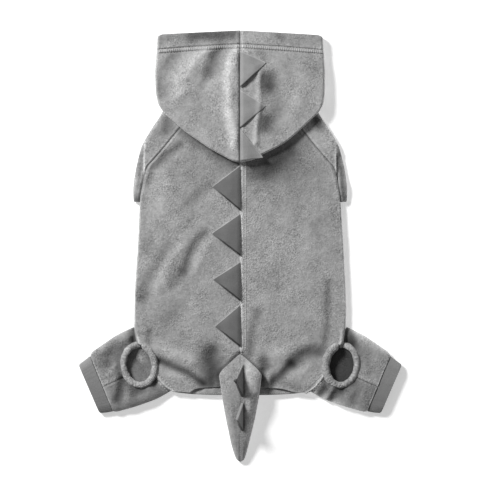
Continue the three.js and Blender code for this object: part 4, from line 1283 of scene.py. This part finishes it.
def beside(path, offset):
    """The path moved sideways by a distance, to its left where it is positive."""
    out = []
    for k, (x, y) in enumerate(path):
        (x1, y1), (x2, y2) = path[max(k - 1, 0)], path[min(k + 1, len(path) - 1)]
        length = math.hypot(x2 - x1, y2 - y1)
        out.append((x - (y2 - y1) / length * offset, y + (x2 - x1) / length * offset))
    return out


# The suit

pieces = {}
for side_name, side_sign in SIDES:
    pieces["back", side_name] = back_panel(side_name, side_sign)
    pieces["sleeve", side_name] = sleeve(side_name, side_sign)
    pieces["hood", side_name] = hood_panel(side_name, side_sign)
    pieces["leg_front", side_name] = leg_panel(side_name, side_sign, True)
    pieces["leg_rear", side_name] = leg_panel(side_name, side_sign, False)
    pieces["ring", side_name] = ring(side_name, side_sign)
    pieces["cuff", side_name] = cuff(side_name, side_sign)
pieces["belly"] = belly()
pieces["tail"] = tail()
pieces["strip"] = strip()
for kind, rows, lifts, surface in (("back", BACK_SPIKES, BACK_SPIKE_LIFTS, back_top),
                                   ("hood", HOOD_SPIKES, HOOD_SPIKE_LIFTS, hood_top)):
    for number, (row, lift) in enumerate(zip(rows, lifts), 1):
        pieces[f"{kind}_spike", number] = lying_spike(
            f"{kind}_spike_{number}", f"{kind}_felt", row, surface, lift)
for number, row in enumerate(TAIL_SPIKES, 1):
    pieces["tail_spike", number] = standing_spike(f"tail_spike_{number}", row)


def hem_line(name, sign, deep, inset=2.5):
    """A line along the hood's face opening, at a depth from its edge."""
    at = HOOD[0].seam_y - deep
    side_x, side_y = (over(HOOD, "seam_y", f"{name}_{axis}")(at) for axis in "xy")
    straight = line(sign * 1.2, at, sign * (side_x - inset), side_y)
    return [(x, y - hem_sag(x)) for x, y in straight]


def ring_line(sign, first, last, out, count=60):
    return [ring_point(sign, mix(first, last, k / count), out) for k in range(count + 1)]


def seam_rows(points, offset):
    return [beside(points, offset), beside(points, -offset)]


sewn = {}
for side_name, side_sign in SIDES:
    hood_tree = trees([pieces["hood", side_name]])
    ladder = [hem_line(side_name, side_sign, HEM_DEPTH + HEM_BAND / 2)]
    sewn["ladder", side_name] = stitches(
        f"hood_{side_name}_ladder", ladder, hood_tree, LADDER, turn=math.pi / 2)
    needles = [hem_line(side_name, side_sign, HEM_DEPTH + k * HEM_BAND) for k in (0, 1)]
    sewn["needles", side_name] = stitches(f"hood_{side_name}_needle_rows", needles, hood_tree)
    (y1, x1), (y2, x2) = CROTCH[side_name][-2:]
    crotch_line = line(side_sign * x1, y1, side_sign * x2, y2)
    around = trees([pieces[key, side_name] for key in ("back", "leg_rear")])
    sewn["crotch", side_name] = stitches(
        f"crotch_{side_name}_rows", seam_rows(crotch_line, CROTCH_ROW), around, BOLD)
    rows = [ring_line(side_sign, *RING_ROWS_SPAN, out) for out in RING_ROWS]
    sewn["ring", side_name] = stitches(
        f"ring_{side_name}_rows", rows, trees([pieces["ring", side_name]]), BOLD)
strip_rows = [line(x, STRIP_TOP - 4, x, STRIP_END + 2) for x in STRIP_LINES]
sewn["strip"] = stitches("strip_rows", strip_rows, trees([pieces["strip"]]), FINE)
hem_row = [(x, BELLY_HEM + BELLY_ROW_IN - BELLY_HEM_BOW * bowed(x, BELLY_HEM_HALF))
           for x in range(-BELLY_ROW_END, BELLY_ROW_END + 1, 2)]
sewn["hem"] = stitches("belly_hem_row", [hem_row], trees([pieces["belly"]]), FINE)
tail_row = [line(0.7, TAIL_SPIKES[-1].base_end - 2, 0.3, TAIL[-1].y + 6)]
sewn["tail"] = stitches("tail_seam_row", tail_row, trees([pieces["tail"]]), FINE)


# The flat cut and the area of each sheet and spike, worked out but not put to use

def laid(piece, wide, long, share, rests_on=(), with_pieces=()):
    area = share * wide * long * MM**2
    wide * MM
    long * MM


for side_name, side_sign in SIDES:
    back = pieces["back", side_name]
    on_back = [pieces["ring", side_name], sewn["ring", side_name]]
    if side_name == "right":
        on_back += [pieces["strip"], sewn["strip"]]
    on_hood = [sewn["ladder", side_name], sewn["needles", side_name]]
    laid(back, *CUTS["back"], [pieces["belly"]], on_back)
    laid(pieces["hood", side_name], *CUTS["hood"], [back], on_hood)
    laid(pieces["leg_rear", side_name], *CUTS["leg_rear"], (), [sewn["crotch", side_name]])
    for part in ("sleeve", "leg_front", "cuff"):
        laid(pieces[part, side_name], *CUTS[part])
laid(pieces["belly"], *CUTS["belly"], (), [sewn["hem"]])
for kind, rows, under in (("back_spike", BACK_SPIKES, ("back", "left")),
                          ("hood_spike", HOOD_SPIKES, ("hood", "right")),
                          ("tail_spike", TAIL_SPIKES, "tail")):
    for number, row in enumerate(rows, 1):
        wide, long = math.hypot(row.tip_x, getattr(row, "height", 0)), row.base_top - row.base_end
        on_it = [sewn["tail"]] if row is TAIL_SPIKES[-1] else []
        laid(pieces[kind, number], wide, long, SPIKE_CUT_SHARE, [pieces[under]], on_it)


# Floor, light and camera

def camera():
    data = bpy.data.cameras.new("camera")
    data.lens = LENS
    data.clip_end = 20
    view = linked("camera", data)
    view.location = Vector((CAMERA_X, CAMERA_Y, CAMERA_Z)) * MM
    bpy.context.scene.camera = view


def area_light(name, place, size, power):
    data = bpy.data.lights.new(name, "AREA")
    data.shape = "DISK"
    data.size = size
    data.energy = power
    lamp = linked(name, data)
    lamp.location = place
    lamp.rotation_euler = (-Vector(place)).to_track_quat("-Z", "Y").to_euler()


def studio():
    world = bpy.data.worlds.new("studio")
    world.use_nodes = True
    background = world.node_tree.nodes["Background"]
    background.inputs["Color"].default_value = (1, 1, 1, 1)
    background.inputs["Strength"].default_value = 0.2
    bpy.context.scene.world = world
    bpy.context.scene.view_settings.view_transform = "Standard"
    area_light("key", (-1.35, 1.2, 1.45), 0.6, 64)

    f = Finish("floor")
    white = (0.95, 0.95, 0.95, 1)
    shader = f.node("BsdfPrincipled", None, {
        "Base Color": white, "Roughness": 0.9, "Emission Color": white, "Emission Strength": 0.42})
    f.node("OutputMaterial", None, {"Surface": shader})
    bm = bmesh.new()
    bmesh.ops.create_grid(bm, x_segments=1, y_segments=1, size=3)
    mesh = bpy.data.meshes.new("floor")
    bm.to_mesh(mesh)
    bm.free()
    mesh.materials.append(f.material)
    floor = linked("floor", mesh)


camera()
studio()
